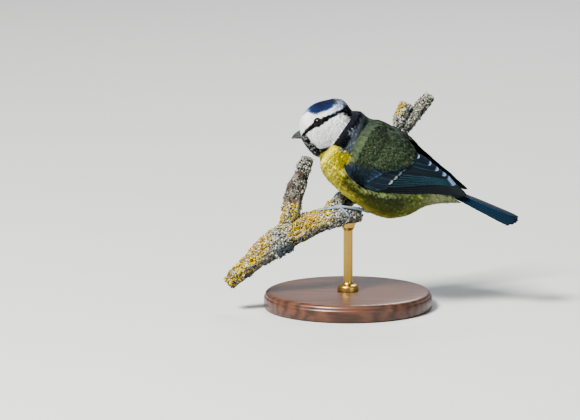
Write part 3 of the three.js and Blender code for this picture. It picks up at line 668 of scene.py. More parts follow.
def quill_material():
    """Reads each feather's web, fringe and tip colours, and draws its barbs and its dark shaft."""
    made, tree, shader = finish("quill_feather", Roughness=0.55, Specular_IOR_Level=0.13)
    across = fact_in(tree, "across")
    along = fact_in(tree, "along")
    jitter = maths(tree, "SUBTRACT", grain(tree, 1400.0, 4.0), 0.5)
    ragged_edge = maths(tree, "MULTIPLY_ADD", jitter, 0.35, across)
    ragged_tip = maths(tree, "MULTIPLY_ADD", jitter, 0.10, along)
    outer = ranged(tree, ragged_edge, 0.0, 1.0, 0.74, 0.90, soft=True)
    inner = ranged(tree, ragged_edge, 0.0, 0.5, -0.86, -0.98, soft=True)
    edges = maths(tree, "MAXIMUM", outer, inner)
    ends = ranged(tree, ragged_tip, 0.0, 1.0, 0.80, 0.92, soft=True)
    with_fringe = blend(tree, edges, fact_in(tree, "hue", "Color"), fact_in(tree, "edge_hue", "Color"))
    with_tip = blend(tree, ends, with_fringe, fact_in(tree, "tip_hue", "Color"))
    from_shaft = maths(tree, "ABSOLUTE", across)
    ridge = maths(tree, "SINE", maths(tree, "MULTIPLY_ADD", from_shaft, -5.5, fact_in(tree, "barbs")))
    barbed = ranged(tree, ridge, 0.95, 1.03, -1.0)
    patchy = ranged(tree, grain(tree, 260.0, 3.0), 0.82, 1.18)
    coloured = toned(tree, with_tip, maths(tree, "MULTIPLY", barbed, patchy))
    rib = ranged(tree, from_shaft, 0.0, 1.0, 0.075, 0.03, soft=True)
    with_shaft = blend(tree, rib, coloured, "1d2023")
    feed(shader, {"Base Color": with_shaft, "Normal": bumped(tree, ridge, 0.15, 0.00004)})
    return made


quill = quill_material()
VANE_ACROSS = np.array(
    [-1, -0.86, -0.68, -0.48, -0.28, -0.12, -0.05, 0, 0.05, 0.13, 0.32, 0.54, 0.76, 0.9, 1]
)
VANE_THICK = 0.07
BARB_PITCH = 0.42
TIP_SHARE = 0.14


def shaft_rise(across, along):
    """How far the shaft stands over the web, less towards the tip."""
    return 0.07 * np.exp(-((across / 0.06) ** 2)) * (1 - 0.6 * along)


def vane_facts(across, along, length):
    """What the feathers' material reads, for both sides of a vane."""
    ends = along + 0 * across
    facts = {"across": across + 0 * ends, "along": ends, "barbs": ends * length * 2 * np.pi / BARB_PITCH}
    return {key: np.tile(values.ravel(), 2) for key, values in facts.items()}


def wing_vane(root, tip, half, lift, bow=0.0, rows=30, blunt=7.0):
    """A folded wing feather, from root to tip as place along and degrees round the trunk."""
    run = np.linspace(0, 1, rows)[:, None]
    across = VANE_ACROSS[None, :]
    along = 1 - (1 - run) ** 1.35
    place = root[0] + (tip[0] - root[0]) * along
    middle = root[1] + (tip[1] - root[1]) * along + bow * 4 * along * (1 - along)
    lift = lift * (0.55 + 0.45 * soft_step(along, 0, 0.3))
    reach = (under_wing.half(place) + (under_wing.top(place) - under_wing.bottom(place)) / 2) / 2 + lift
    outline = np.minimum(1, 0.6 + 1.6 * along) * np.sqrt(np.maximum(0.006, 1 - along**blunt))
    share = np.where(across > 0, 0.85, 1.15)
    turn = np.radians(middle) + across * share * half * outline / reach
    crown = 0.045 * half * (0.35 - across**2) * outline
    spine = shaft_rise(across, along)
    top = under_wing.skin(place + 0 * across, -turn, lift + crown + VANE_THICK + spine)
    low = under_wing.skin(place + 0 * across, -turn, lift + crown + 0 * across)
    points, faces = closed_sheet(top, low)
    return points, faces, vane_facts(across, along, np.hypot(tip[0] - root[0], 1))


def vane_row(count, first, last, **settings):
    """Like feathers whose roots, tips, widths and lifts run evenly from the first to the last."""
    made = []
    for t in np.linspace(0, 1, count):
        between = [np.asarray(a, float) * (1 - t) + np.asarray(b, float) * t for a, b in zip(first, last)]
        made.append(wing_vane(*between, **settings))
    return made


def dressed(feathers, web, fringe, tips, last_web=None, tip_share=TIP_SHARE):
    """Gives a row of feathers its colours, with the webs running to a second colour."""
    rows = []
    for i, (points, faces, facts) in enumerate(feathers):
        t = i / max(1, len(feathers) - 1)
        hues = {
            "hue": np.asarray(paint(web)) * (1 - t) + np.asarray(paint(last_web or web)) * t,
            "edge_hue": paint(fringe),
            "tip_hue": paint(tips if isinstance(tips, str) else tips[i]),
        }
        facts = dict(facts, along=1 - (1 - facts["along"]) * TIP_SHARE / tip_share)
        for key, hue in hues.items():
            facts[key] = np.tile(hue, (len(points), 1))
        rows.append((points, faces, facts))
    return rows


def gathered(name, feathers, matrix, material, mirror=False):
    """One object from many feathers, in metres."""
    flip = (1, -1 if mirror else 1, 1)
    points, faces = joined([(row[0] * flip, row[1]) for row in feathers])
    facts = {key: np.concatenate([row[2][key] for row in feathers]) for key in feathers[0][2]}
    return made_object(name, through_matrix(matrix, points), faces, material, facts)


# The eight primaries lie lowest, then the tiers over them: secondaries, tertials, primary coverts,
# greater coverts with the pale bar, median coverts, the leading edge, and the pale wing lining.
primary_tips = through([0, 1.4, 2.8, 4.2, 5.6, 7], [60.6, 63.8, 65.2, 64.4, 62.2, 60])
primary_turns = through([0, 1.4, 2.8, 4.2, 5.6, 7], [78, 68, 58, 50, 43, 36])
wing = []
for i in range(8):
    t = i / 7 * 5
    tip = (float(primary_tips(i)), float(primary_turns(i)))
    feather = wing_vane((18 + t, 105 - 4.6 * t), tip, 2.3, 0.12 * i, 0.7 * t - 3, blunt=9)
    wing += dressed([feather], "0a0e13" if i < 5 else "0b0d10", "222b31", "1f2427")
bar_tips = "1c2a34 8c999a 7a898d 63757d 485b67 22333f 748ca6 22333f 7f98b8".split()
lining = ((8, 112), (22, 113), 0.40, 0.80)
for count, first, last, shape, web, fringe, tips, more in [
    (
        6, ((20, 92), (58.2, 32), 2.7, 0.98, 9.0), ((26, 66), (54.6, 23), 2.9, 1.58, 6.0), {"blunt": 8},
        "0f181d", "22414c", "6f88a6", {"tip_share": 0.04},
    ),
    (
        3, ((26, 56), (52.2, 21), 3.2, 1.66, 4.0), ((26, 36), (43.3, 20), 3.5, 1.96, 3.0), {"blunt": 6},
        "0f1a22", "24363f", "7089ad", {"last_web": "101b24", "tip_share": 0.065},
    ),
    (
        5, ((10.5, 108), (19.5, 107), 1.5, 0.75), ((15, 103), (27.6, 98), 1.7, 1.1), {"rows": 18},
        "1c2431", "2c415c", "33485f", {},
    ),
    (
        9, ((18, 99), (30.0, 92), 2.1, 1.2), ((26, 36), (36.6, 25), 2.8, 2.1), {"rows": 20, "blunt": 5},
        "141f29", "23384a", bar_tips, {"last_web": "16232e", "tip_share": 0.09},
    ),
    (
        6, ((12, 100), (21.5, 95), 2.0, 1.35), ((17, 74), (26.6, 70), 2.4, 1.9), {"rows": 18, "blunt": 5},
        "16222e", "263b4e", "2f4558", {},
    ),
    (
        3, ((7.5, 105), (15, 111), 1.3, 0.9), ((9, 101), (18.5, 104), 1.4, 1.2), {"rows": 18},
        "161c26", "2c3f57", "27374b", {},
    ),
    (1, lining, lining, {"rows": 18}, "76854f", "a4b482", "97a873", {}),
]:
    wing += dressed(vane_row(count, first, last, **shape), web, fringe, tips, **more)
for side, mirror in (("left", False), ("right", True)):
    feathers = gathered(f"wing_feathers_{side}", wing, trunk_place, quill, mirror)
    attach(feathers, "root")
    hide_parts(f"wing_{side}")


# The tail: twelve feathers from one root, the middle pair on top and the outer pair underneath,
# with white outer webs on the outermost. Small coverts hide their roots above and below.
TAIL_LENGTH = 37
TAIL_ROOT = (56, 5.4)
TAIL_THICK = 0.08
tail_rise = math.radians(7.4)
tail_roll = math.radians(3)


def tail_vane(pair, side):
    spread = side * (pair + 0.4) / 5.4
    shorter = [1.0, 0.3, 0, 0.4, 1.4, 3.2][pair]
    run = np.linspace(0, 1, 36)[:, None]
    own = VANE_ACROSS[None, :]
    across = own * side
    along = 1 - (1 - run) ** 1.25
    reach = (TAIL_LENGTH - shorter) * along
    outline = np.minimum(1, 0.45 + 1.2 * along) * np.sqrt(np.maximum(0.005, 1 - along**14))
    share = np.where(own > 0, 0.8, 1.15)
    fan = spread * (3 + 2.4 * along) + across * share * 2.5 * outline
    height = -pair * 0.36 - (0.1 if side > 0 else 0) - 0.05 * fan**2 * along
    height = height + 0.18 * (0.3 - own**2) * outline + shaft_rise(own, along)

    def at(lift):
        lift = height + lift + 0.62
        y = fan * math.cos(tail_roll) - lift * math.sin(tail_roll)
        up = fan * math.sin(tail_roll) + lift * math.cos(tail_roll)
        x = TAIL_ROOT[0] + reach * math.cos(tail_rise) - up * math.sin(tail_rise)
        z = TAIL_ROOT[1] + reach * math.sin(tail_rise) + up * math.cos(tail_rise)
        return np.stack(np.broadcast_arrays(x, y, z), -1)

    points, faces = closed_sheet(at(TAIL_THICK), at(0.0))
    return points, faces, vane_facts(own, along, TAIL_LENGTH)


tail = []
for pair in range(5, -1, -1):
    for side in (1, -1):
        web = "0c1526" if pair < 2 else "111a24"
        fringe = "143248" if pair < 5 else "c9cccc"
        tail += dressed([tail_vane(pair, side)], web, fringe, "0f1a2b", tip_share=0.05)
tail_feathers = gathered("tail_feathers", tail, trunk_place, quill)
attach(tail_feathers, "root")
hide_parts("tail")


# The bill: short, strong and almost straight, of dark slate horn with paler cutting edges. The
# upper half has a rounded ridge and a nostril each side of its base, and closes over the lower.
bill_form = Form(
    [
        (-10, 3.3, -1.2, 2.3), (-12.6, 3.3, -0.9, 2.05), (-14.4, 3, -0.4, 1.5), (-16.3, 2.35, 0.45, 0.9),
        (-17.9, 1.5, 1, 0.35),
    ]
)
MOUTH = 1.05
NOSTRIL = (-13.75, 1.5, 2.05)


def mandible(upper):
    points, faces = turned_form(bill_form, 48, 60)
    away = 1 if upper else -1
    ahead = -points[:, 0]
    line = MOUTH + away * 0.05 - 0.16 * soft_step(ahead, 10.5, 14.5) + 0.16 * soft_step(ahead, 14.5, 17.5)
    kept = np.maximum(points[:, 2], line) if upper else np.minimum(points[:, 2], line)
    flat = np.abs(kept - line) < 1e-9
    points[:, 2] = np.where(flat, line + away * 0.15 * (1 - np.abs(points[:, 1]) / 2.4), kept)
    if upper:
        ridge = np.exp(-((points[:, 1] / 0.5) ** 2)) * soft_step(points[:, 2], 1.6, 2.6)
        points[:, 2] += 0.14 * ridge
        for side in (-1, 1):
            off = np.linalg.norm(points - (NOSTRIL[0], side * NOSTRIL[1], NOSTRIL[2]), axis=1)
            points[:, 1] -= side * 0.35 * np.exp(-((off / 0.42) ** 2))
    pale = np.exp(-(((points[:, 2] - line) / 0.28) ** 2))
    return points, faces, {"pale": pale}


horn, tree, shader = finish("horn", Roughness=0.38, Coat_Weight=0.15)
streak = grain(tree, 1500.0, 5.0)
horn_colour = blend(tree, maths(tree, "MULTIPLY", fact_in(tree, "pale"), 0.55), "262a30", "8f9499")
horn_colour = toned(tree, horn_colour, ranged(tree, streak, 0.7, 1.3))
feed(shader, {"Base Color": horn_colour, "Normal": bumped(tree, streak, 0.25, 0.0001)})
for half, upper in (("upper", True), ("lower", False)):
    points, faces, facts = mandible(upper)
    shell = made_object(f"bill_{half}_horn", through_matrix(skull_place, points), faces, horn, facts)
    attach(shell, "root")
    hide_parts(f"bill_{half}")


# The eyes: wet, nearly black balls with a very dark brown ring round the pupil, each set in a
# thin rim of bare grey lid that the face's feathers close in on.
EYE_RADIUS = 2.3
EYE_PLACE = -2.7
EYE_HEIGHT = 5.2
EYE_PROUD = 0.7
CORNEA = 0.12
RIM_AROUND = 72
LID_AROUND = 10


def eye_centre(side):
    middle = float(skull.top(EYE_PLACE) + skull.bottom(EYE_PLACE)) / 2
    tall = float(skull.top(EYE_PLACE) - skull.bottom(EYE_PLACE)) / 2
    half = float(skull.half(EYE_PLACE)) * math.sqrt(1 - ((EYE_HEIGHT - middle) / tall) ** 2)
    return np.array([EYE_PLACE, side * (half + EYE_PROUD - EYE_RADIUS), EYE_HEIGHT])


eye_wet, tree, shader = finish("wet_eye", Roughness=0.04, IOR=1.38, Specular_IOR_Level=0.4)
iris = ranged(tree, fact_in(tree, "ring"), 0.0, 1.0, 0.52, 0.60)
eye_colour = blend(tree, iris, (0.002, 0.002, 0.002, 1), "120b08")
feed(shader, {"Base Color": toned(tree, eye_colour, ranged(tree, grain(tree, 2500.0, 3.0), 0.6, 1.4))})

lid_skin, tree, shader = finish("lid_skin", Roughness=0.6)
feed(shader, {"Base Color": blend(tree, grain(tree, 3000.0, 2.0), "08090b", "15181b")})

for side, outward in (("left", -1), ("right", 1)):
    centre = eye_centre(outward)
    run = np.linspace(0, math.pi, 40)[1:-1, None]
    turn = (np.arange(56) / 56 * 2 * math.pi)[None, :]
    radius = EYE_RADIUS + CORNEA * np.exp(-((run / 0.55) ** 2))
    look = np.array([-0.17, outward, 0.06])
    look /= np.linalg.norm(look)
    first = np.cross(look, (0, 0, 1))
    first /= np.linalg.norm(first)
    second = np.cross(look, first)
    out = radius * np.cos(run)
    wide = radius * np.sin(run)
    round_look = (wide * np.cos(turn))[..., None] * first
    cloud = centre + out[..., None] * look + round_look + (wide * np.sin(turn))[..., None] * second
    poles = [centre + (EYE_RADIUS + CORNEA) * look, centre - EYE_RADIUS * look]
    points, faces = closed_rings(cloud, poles)
    ring = np.concatenate([np.repeat(run.ravel(), 56), [0, math.pi]])
    ball = made_object(f"eyeball_{side}", through_matrix(skull_place, points), faces, eye_wet, {"ring": ring})
    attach(ball, "root")
    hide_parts(f"eye_{side}")
    turn = np.linspace(0, 2 * math.pi, RIM_AROUND + 1)[:-1]
    gape = 1.78 + 0.10 * np.cos(turn) ** 2
    rim = centre + 1.52 * look + (gape * np.cos(turn) * 1.04)[:, None] * first
    rim = rim + (gape * np.sin(turn) * 0.94)[:, None] * second
    rim = rim + (0.05 * np.sin(turn * 14))[:, None] * look
    wide = 0.16 + 0.02 * np.sin(turn * 18) + 0.02 * np.sin(turn * 7)
    tangent = np.roll(rim, -1, 0) - np.roll(rim, 1, 0)
    tangent /= np.linalg.norm(tangent, axis=1)[:, None]
    outwards = np.cross(tangent, look)
    around = (np.arange(LID_AROUND) / LID_AROUND * 2 * math.pi)[None, :, None]
    swell = np.cos(around) * outwards[:, None] + np.sin(around) * look
    cloud = rim[:, None] + wide[:, None, None] * swell
    index = np.arange(RIM_AROUND * LID_AROUND).reshape(RIM_AROUND, LID_AROUND)
    beside = np.roll(index, -1, 0)
    faces = np.stack([index, beside, np.roll(beside, -1, 1), np.roll(index, -1, 1)], -1)
    faces = faces.reshape(-1, 4).tolist()
    lids = made_object(f"lids_{side}", through_matrix(skull_place, cloud.reshape(-1, 3)), faces, lid_skin)
    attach(lids, "root")


# The coat: small body feathers in overlapping rows, shortest and closest round the bill and the
# eyes, longest on the flanks. Each is a thin closed vane with a frayed end, rooted in the skin
# and laid back along the lie of the plumage, which runs from the bill to the tail.
def tuft_mesh(name, tips, half, seed):
    """A feather one unit long: a closed lens whose far edge is split into pointed tips."""
    draw = np.random.default_rng(seed)
    rim = [(0.0, -0.05), (0.22, -0.62 * half), (0.58, -half)]
    spread = np.linspace(-0.86, 0.86, tips) * half
    for k, across in enumerate(spread):
        far = 1 - 0.13 * abs(across / half) ** 2 + draw.uniform(-0.04, 0.03)
        rim.append((far, across * 1.02))
        if k < tips - 1:
            notch = far - 0.34 * draw.uniform(0.75, 1.2)
            rim.append((notch, (across + spread[k + 1]) / 2))
    rim += [(0.58, half), (0.22, 0.62 * half), (0.0, 0.05)]
    rim = np.array(rim)
    core = np.array([(0.26, 0.0), (0.64, 0.0)])
    flat = np.vstack([rim, core, core])
    edge = len(rim)
    bend = 0.09 * flat[:, 0] * (1 - flat[:, 0]) - 0.08 * flat[:, 1] ** 2 / half
    lift = np.concatenate([np.zeros(edge), [0.012, 0.014], [-0.008, -0.008]])
    points = np.stack([flat[:, 0], flat[:, 1], bend + lift], 1)
    near = [0 if x < 0.42 else 1 for x in rim[:, 0]]
    faces = []
    for a in range(edge):
        b = (a + 1) % edge
        for base, flip in ((edge, False), (edge + 2, True)):
            tris = [(a, b, base + near[a])]
            if near[a] != near[b]:
                tris.append((b, base + near[b], base + near[a]))
            faces += [t[::-1] if flip else t for t in tris]
    facts = {"reach": np.clip(flat[:, 0], 0, 1), "side": np.clip(flat[:, 1] / half, -1, 1)}
    return small_piece(name, points, faces, facts)


def small_piece(name, points, faces, facts):
    """A mesh object that is only scattered, and isn't in the scene by itself."""
    made = bpy.data.meshes.new(name)
    made.from_pydata(points.tolist(), [], faces)
    for key, values in facts.items():
        set_fact(made, key, values)
    made.shade_smooth()
    facing_out(made)
    return bpy.data.objects.new(name, made)


def scatter_tree():
    """Scatters one of a few small pieces over a patch, each turned and sized by the patch's facts."""
    tree = bpy.data.node_groups.new("scatter", "GeometryNodeTree")
    sockets = {
        "Geometry": "Geometry", "Pieces": "Collection", "Spacing": "Float", "Stand": "Float",
        "Tousle": "Float", "Seed": "Int", "Material": "Material",
    }
    for name, kind in sockets.items():
        tree.interface.new_socket(name, in_out="INPUT", socket_type=f"NodeSocket{kind}")
    tree.interface.new_socket("Geometry", in_out="OUTPUT", socket_type="NodeSocketGeometry")
    given = tree.nodes.new("NodeGroupInput").outputs

    def chance(low, high, seed):
        limits = {2: low, 3: high, "Seed": seed}
        return node(tree, "FunctionNodeRandomValue", limits, 1, data_type="FLOAT")

    def patch_fact(name, kind):
        return node(tree, "GeometryNodeInputNamedAttribute", {"Name": name}, data_type=kind)

    def stored(geometry, name, value, kind, domain):
        facts = {"Geometry": geometry, "Name": name, "Value": value}
        return node(tree, "GeometryNodeStoreNamedAttribute", facts, data_type=kind, domain=domain)

    density = maths(tree, "DIVIDE", 3.2, maths(tree, "MULTIPLY", given["Spacing"], given["Spacing"]))
    spread = {
        "Mesh": given["Geometry"], "Distance Min": given["Spacing"], "Density Max": density,
        "Seed": given["Seed"],
    }
    spots = node(tree, "GeometryNodeDistributePointsOnFaces", spread, distribute_method="POISSON")
    here = node(tree, "GeometryNodeInputPosition")
    rooted = stored(spots, "root", here, "FLOAT_VECTOR", "POINT")
    axes = {
        "Primary Axis": patch_fact("up", "FLOAT_VECTOR"),
        "Secondary Axis": patch_fact("lie", "FLOAT_VECTOR"),
    }
    facing = node(tree, "FunctionNodeAxesToRotation", axes, primary_axis="Z", secondary_axis="X")
    corners = []
    for way in (-1.0, 1.0):
        yaw = maths(tree, "MULTIPLY", given["Tousle"], way)
        lean = maths(tree, "MULTIPLY", given["Tousle"], way * 0.35)
        corners.append(node(tree, "ShaderNodeCombineXYZ", {"X": lean, "Y": lean, "Z": yaw}))
    seed_two = maths(tree, "ADD", given["Seed"], 17.0)
    range_of_turns = {"Min": corners[0], "Max": corners[1], "Seed": seed_two}
    tousle = node(tree, "FunctionNodeRandomValue", range_of_turns, data_type="FLOAT_VECTOR")
    raised = node(tree, "ShaderNodeCombineXYZ", {"Y": maths(tree, "MULTIPLY", given["Stand"], -1.0)})
    both = node(tree, "ShaderNodeVectorMath", {0: raised, 1: tousle}, operation="ADD")
    turned = node(tree, "FunctionNodeRotateRotation", {0: facing, 1: both}, rotation_space="LOCAL")
    grown = chance(0.82, 1.16, maths(tree, "ADD", given["Seed"], 41.0))
    length = maths(tree, "MULTIPLY", patch_fact("size", "FLOAT"), grown)
    choice = {"Collection": given["Pieces"], "Separate Children": True, "Reset Children": True}
    kinds = node(tree, "GeometryNodeCollectionInfo", choice)
    laying = {"Points": rooted, "Instance": kinds, "Pick Instance": True, "Rotation": turned, "Scale": length}
    laid = node(tree, "GeometryNodeInstanceOnPoints", laying)
    named = stored(laid, "own", chance(0.0, 1.0, given["Seed"]), "FLOAT", "INSTANCE")
    whole = node(tree, "GeometryNodeRealizeInstances", {"Geometry": named})
    covered = node(tree, "GeometryNodeSetMaterial", {"Geometry": whole, "Material": given["Material"]})
    feed(tree.nodes.new("NodeGroupOutput"), {0: covered})
    return tree


def plume_material():
    """Each feather's own colour, with fine strands, a root darkened by painted shade and the body's broad
    shading.
    """
    made, tree, shader = finish(
        "body_feathers", Roughness=0.75, Sheen_Weight=0.04, Sheen_Roughness=0.4, Specular_IOR_Level=0.12
    )
    own = fact_in(tree, "own")
    phase = maths(tree, "MULTIPLY", own, 40.0)
    strand = maths(tree, "SINE", maths(tree, "MULTIPLY_ADD", fact_in(tree, "side"), 13.0, phase))
    fine = ranged(tree, strand, 0.88, 1.07, -1.0)
    # Painted shade: each feather darkens towards its root, where the next feathers lie over it.
    root = ranged(tree, fact_in(tree, "reach"), 0.84, 1.0, 0.0, 0.7, soft=True)
    value = maths(tree, "MULTIPLY", maths(tree, "MULTIPLY", fine, root), ranged(tree, own, 0.90, 1.10))
    body_up = {0: fact_in(tree, "up", "Vector"), "Scale": 4.0}
    broad = node(tree, "ShaderNodeVectorMath", body_up, operation="SCALE")
    true_normal = node(tree, "ShaderNodeNewGeometry", out="Normal")
    blended = node(tree, "ShaderNodeVectorMath", {0: broad, 1: true_normal}, operation="ADD")
    evened = node(tree, "ShaderNodeVectorMath", {0: blended}, operation="NORMALIZE")
    normal = bumped(tree, strand, 0.4, 0.00005, Normal=evened)
    feed(shader, {"Base Color": toned(tree, fact_in(tree, "hue", "Color"), value), "Normal": normal})
    return made


def unit(v):
    return v / np.maximum(np.linalg.norm(v, axis=-1, keepdims=True), 1e-12)


def past_neck_at(in_trunk):
    """Millimetres behind the slanting line where the head's plumage ends."""
    return in_trunk[:, 0] - 0.142 * in_trunk[:, 2]


def lie_at(points, normals):
    """Which way the plumage lies at places on the skin."""
    in_trunk = through_matrix(into_trunk, points)
    in_skull = through_matrix(into_skull, points)
    from_bill = unit(in_skull - (-17.5, 0, 0.6)) @ skull_place[:3, :3].T
    from_throat = unit(in_trunk - (-30, 0, 13)) @ trunk_place[:3, :3].T
    along = unit(mix(unit(from_bill), unit(from_throat), soft_step(past_neck_at(in_trunk), -5, 3)))
    for middle in shank_middles:
        near = np.linalg.norm(points * 1000 - middle, axis=1)
        below = soft_fall(near, 2.6, 4.6) * soft_step(middle[2] + 0.6 - points[:, 2] * 1000, -1, 1)
        along = unit(mix(along, (-0.25, 0, -1), below))
    flat = along - normals * np.sum(along * normals, axis=1)[:, None]
    return unit(flat)


def size_at(points, on_shoulder):
    """How long the feathers are at places on the skin, in metres."""
    in_trunk = through_matrix(into_trunk, points)
    in_skull = through_matrix(into_skull, points)
    from_bill = np.linalg.norm(in_skull - (-12.4, 0, 1.0), axis=1)
    head = np.interp(from_bill, [2, 4, 7, 12, 18, 26], [0.9, 1.2, 1.8, 2.4, 3.0, 3.6])
    for outward in (-1, 1):
        eye = np.linalg.norm(in_skull - eye_centre(outward), axis=1)
        head = np.minimum(head, np.interp(eye, [2.3, 3.0, 4.5, 7, 10], [0.55, 0.8, 1.4, 2.2, 3.2]))
    body = np.interp(in_trunk[:, 0], [-6, 4, 16, 34, 46, 56], [3.4, 3.9, 4.5, 4.6, 4.2, 3.6])
    size = head + (body - head) * soft_step(past_neck_at(in_trunk), -4, 5)
    for middle in shank_middles:
        near = np.linalg.norm(points * 1000 - middle, axis=1)
        size = size + (1.5 - size) * soft_fall(near, 3.2, 5.5)
    size = size + (3.6 - size) * on_shoulder
    return size * 0.001


skin_lie = lie_at(skin_points, skin_normals)
skin_size = size_at(skin_points, on_pad)
skin_hull, skin_angle = trunk.find(skin_in_trunk)[:2]
head_turn = skull.find(skin_in_skull)[1]
past_neck = past_neck_at(skin_in_trunk)
eye_away = np.full(len(skin_points), 99.0)
for outward in (-1, 1):
    from_eye = skin_in_skull - eye_centre(outward) - (0, outward * 1.2, 0)
    eye_away = np.minimum(eye_away, np.linalg.norm(from_eye, axis=1))
bill_away = np.hypot(skin_in_skull[:, 1] / 2.2, (skin_in_skull[:, 2] - 1.2) / 2.1)
bill_away = bill_away + np.where(skin_in_skull[:, 0] > -11, 9, 0)
bare = (eye_away < 1.95) | (bill_away < 0.95)
under_vanes = (skin_angle > 18) & (skin_angle < low_edge(skin_hull) - 5)
under_vanes &= (skin_hull > 30) & (skin_hull < 58) & (on_pad < 0.5)
on_head = (past_neck < 1) & ~bare
on_body = (past_neck >= 1) & (on_pad <= 0.5)
below_wing = skin_angle >= 78
small = skin_size < 0.0017
regions = {
    "coat_face": on_head & small,
    "coat_crown": on_head & ~small & (head_turn < 62),
    "coat_cheeks": on_head & ~small & (head_turn >= 62),
    "coat_shoulders": (past_neck >= 1) & (on_pad > 0.5),
    "coat_mantle": on_body & ~below_wing & (skin_hull < 38) & ~under_vanes,
    "coat_breast": on_body & below_wing & (skin_hull < 13),
    "coat_belly": on_body & below_wing & (skin_hull >= 13) & (skin_hull < 40) & ~under_vanes,
    "coat_rump": on_body & ((skin_hull >= 40) | (~below_wing & (skin_hull >= 38))) & ~under_vanes,
}


def fact_of(mesh, key):
    """A named list of the mesh, with one number or vector a point."""
    fact = mesh.attributes[key]
    single = fact.data_type == "FLOAT"
    out = np.empty(len(mesh.vertices) * (1 if single else 3), np.float32)
    fact.data.foreach_get("value" if single else "vector", out)
    return (out if single else out.reshape(-1, 3)).astype(float)


def patch_of(name, points, faces, facts):
    """A sheet for pieces to grow on, of the points that its faces use."""
    used, packed = np.unique(faces, return_inverse=True)
    patch = bpy.data.meshes.new(name)
    patch.from_pydata(points[used].tolist(), [], packed.reshape(faces.shape).tolist())
    for key, values in facts.items():
        set_fact(patch, key, values[used])
    return patch


def grown_on(name, patch, pieces, spacing, stand, tousle, seed, material):
    """An object of small pieces scattered over a patch, as a plain mesh."""
    made = bpy.data.objects.new(name, patch)
    bpy.context.scene.collection.objects.link(made)
    growth = made.modifiers.new("growth", "NODES")
    growth.node_group = scatter
    names = {item.name: item.identifier for item in scatter.interface.items_tree if item.in_out == "INPUT"}
    growth[names["Pieces"]] = pieces
    growth[names["Spacing"]] = spacing * 0.001
    growth[names["Stand"]] = stand
    growth[names["Tousle"]] = tousle
    growth[names["Seed"]] = seed
    growth[names["Material"]] = material
    return made, evaluated(made)


tuft_kinds = {}
for kind, tips, half in (("fine", 4, 0.15), ("body", 4, 0.14), ("hair", 3, 0.085)):
    kept = bpy.data.collections.new(f"tufts_{kind}")
    for k in range(3):
        kept.objects.link(tuft_mesh(f"{kind}_tuft_{k}", tips, half * (0.92 + 0.08 * k), 7 * k + 3))
    tuft_kinds[kind] = kept
scatter = scatter_tree()
plumes = plume_material()
TUFT_PATCH = 0.003


def coat_of(name, patch, kind, spacing, order, on_arm=False):
    """Feathers grown on a patch, with the plumage's colours, their unwrap and their body."""
    stand = 0.09 if name == "coat_face" else 0.042
    coat, mesh = grown_on(name, patch, tuft_kinds[kind], spacing, stand, 0.10, 100 * order + 5, plumes)
    keys = ("root", "lie", "size", "reach", "side", "own")
    root, lie, size, reach, side, own = (fact_of(mesh, key) for key in keys)
    shown = root + lie * (0.62 * size)[:, None]
    hue = plumage(shown, np.ones(len(shown)) if on_arm else None)
    if kind == "body":
        pale = mix(hue, hue * 1.4 + 0.006, 0.8 * soft_step(own, 0.84, 0.9))
        hue = mix(pale, hue * 0.72, 0.8 * soft_fall(own, 0.12, 0.2))
    set_fact(mesh, "hue", np.clip(hue, 0, 1))
    head_side = name in ("coat_face", "coat_crown", "coat_cheeks")
    flat = through_matrix(into_skull if head_side else into_trunk, root)
    along, turn, away = (skull if head_side else trunk).find(flat)
    turn = turn * np.sign(flat[:, 1] + 1e-9)
    spread = np.stack([along / max(1e-6, np.ptp(along)), turn / 360], 1)
    spread = 0.01 + 0.98 * (spread - spread.min(0)) / np.maximum(1e-6, np.ptp(spread, axis=0))
    patch_uv = spread + (np.stack([reach, (side + 1) / 2], 1) - 0.5) * TUFT_PATCH
    layer = mesh.uv_layers.new(name="OFBake")
    corners = np.empty(len(mesh.loops), np.int32)
    mesh.loops.foreach_get("vertex_index", corners)
    layer.data.foreach_set("uv", patch_uv[corners].astype(np.float32).ravel())
    for spent in ("root", "lie", "size"):
        mesh.attributes.remove(mesh.attributes[spent])
    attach(coat, "root")


skin_faces = np.array([tuple(p.vertices) for p in skin_mesh.polygons])
skin_facts = {"up": skin_normals, "lie": skin_lie, "size": skin_size}
coats = [
    ("coat_face", "fine", 0.22, "plumage_white"),
    ("coat_crown", "fine", 0.34, "plumage_blue"),
    ("coat_cheeks", "fine", 0.34, "plumage_white"),
    ("coat_shoulders", "hair", 0.36, "plumage_blue"),
    ("coat_mantle", "hair", 0.36, "plumage_yellow"),
    ("coat_breast", "body", 0.42, "plumage_yellow"),
    ("coat_belly", "body", 0.48, "plumage_yellow"),
    ("coat_rump", "body", 0.50, "plumage_white"),
]
for order, (name, kind, spacing, slot) in enumerate(coats):
    inside = regions[name][skin_faces].mean(axis=1) > 0.49
    patch = patch_of(name, skin_points, skin_faces[inside], skin_facts)
    coat_of(name, patch, kind, spacing, order, name == "coat_shoulders")


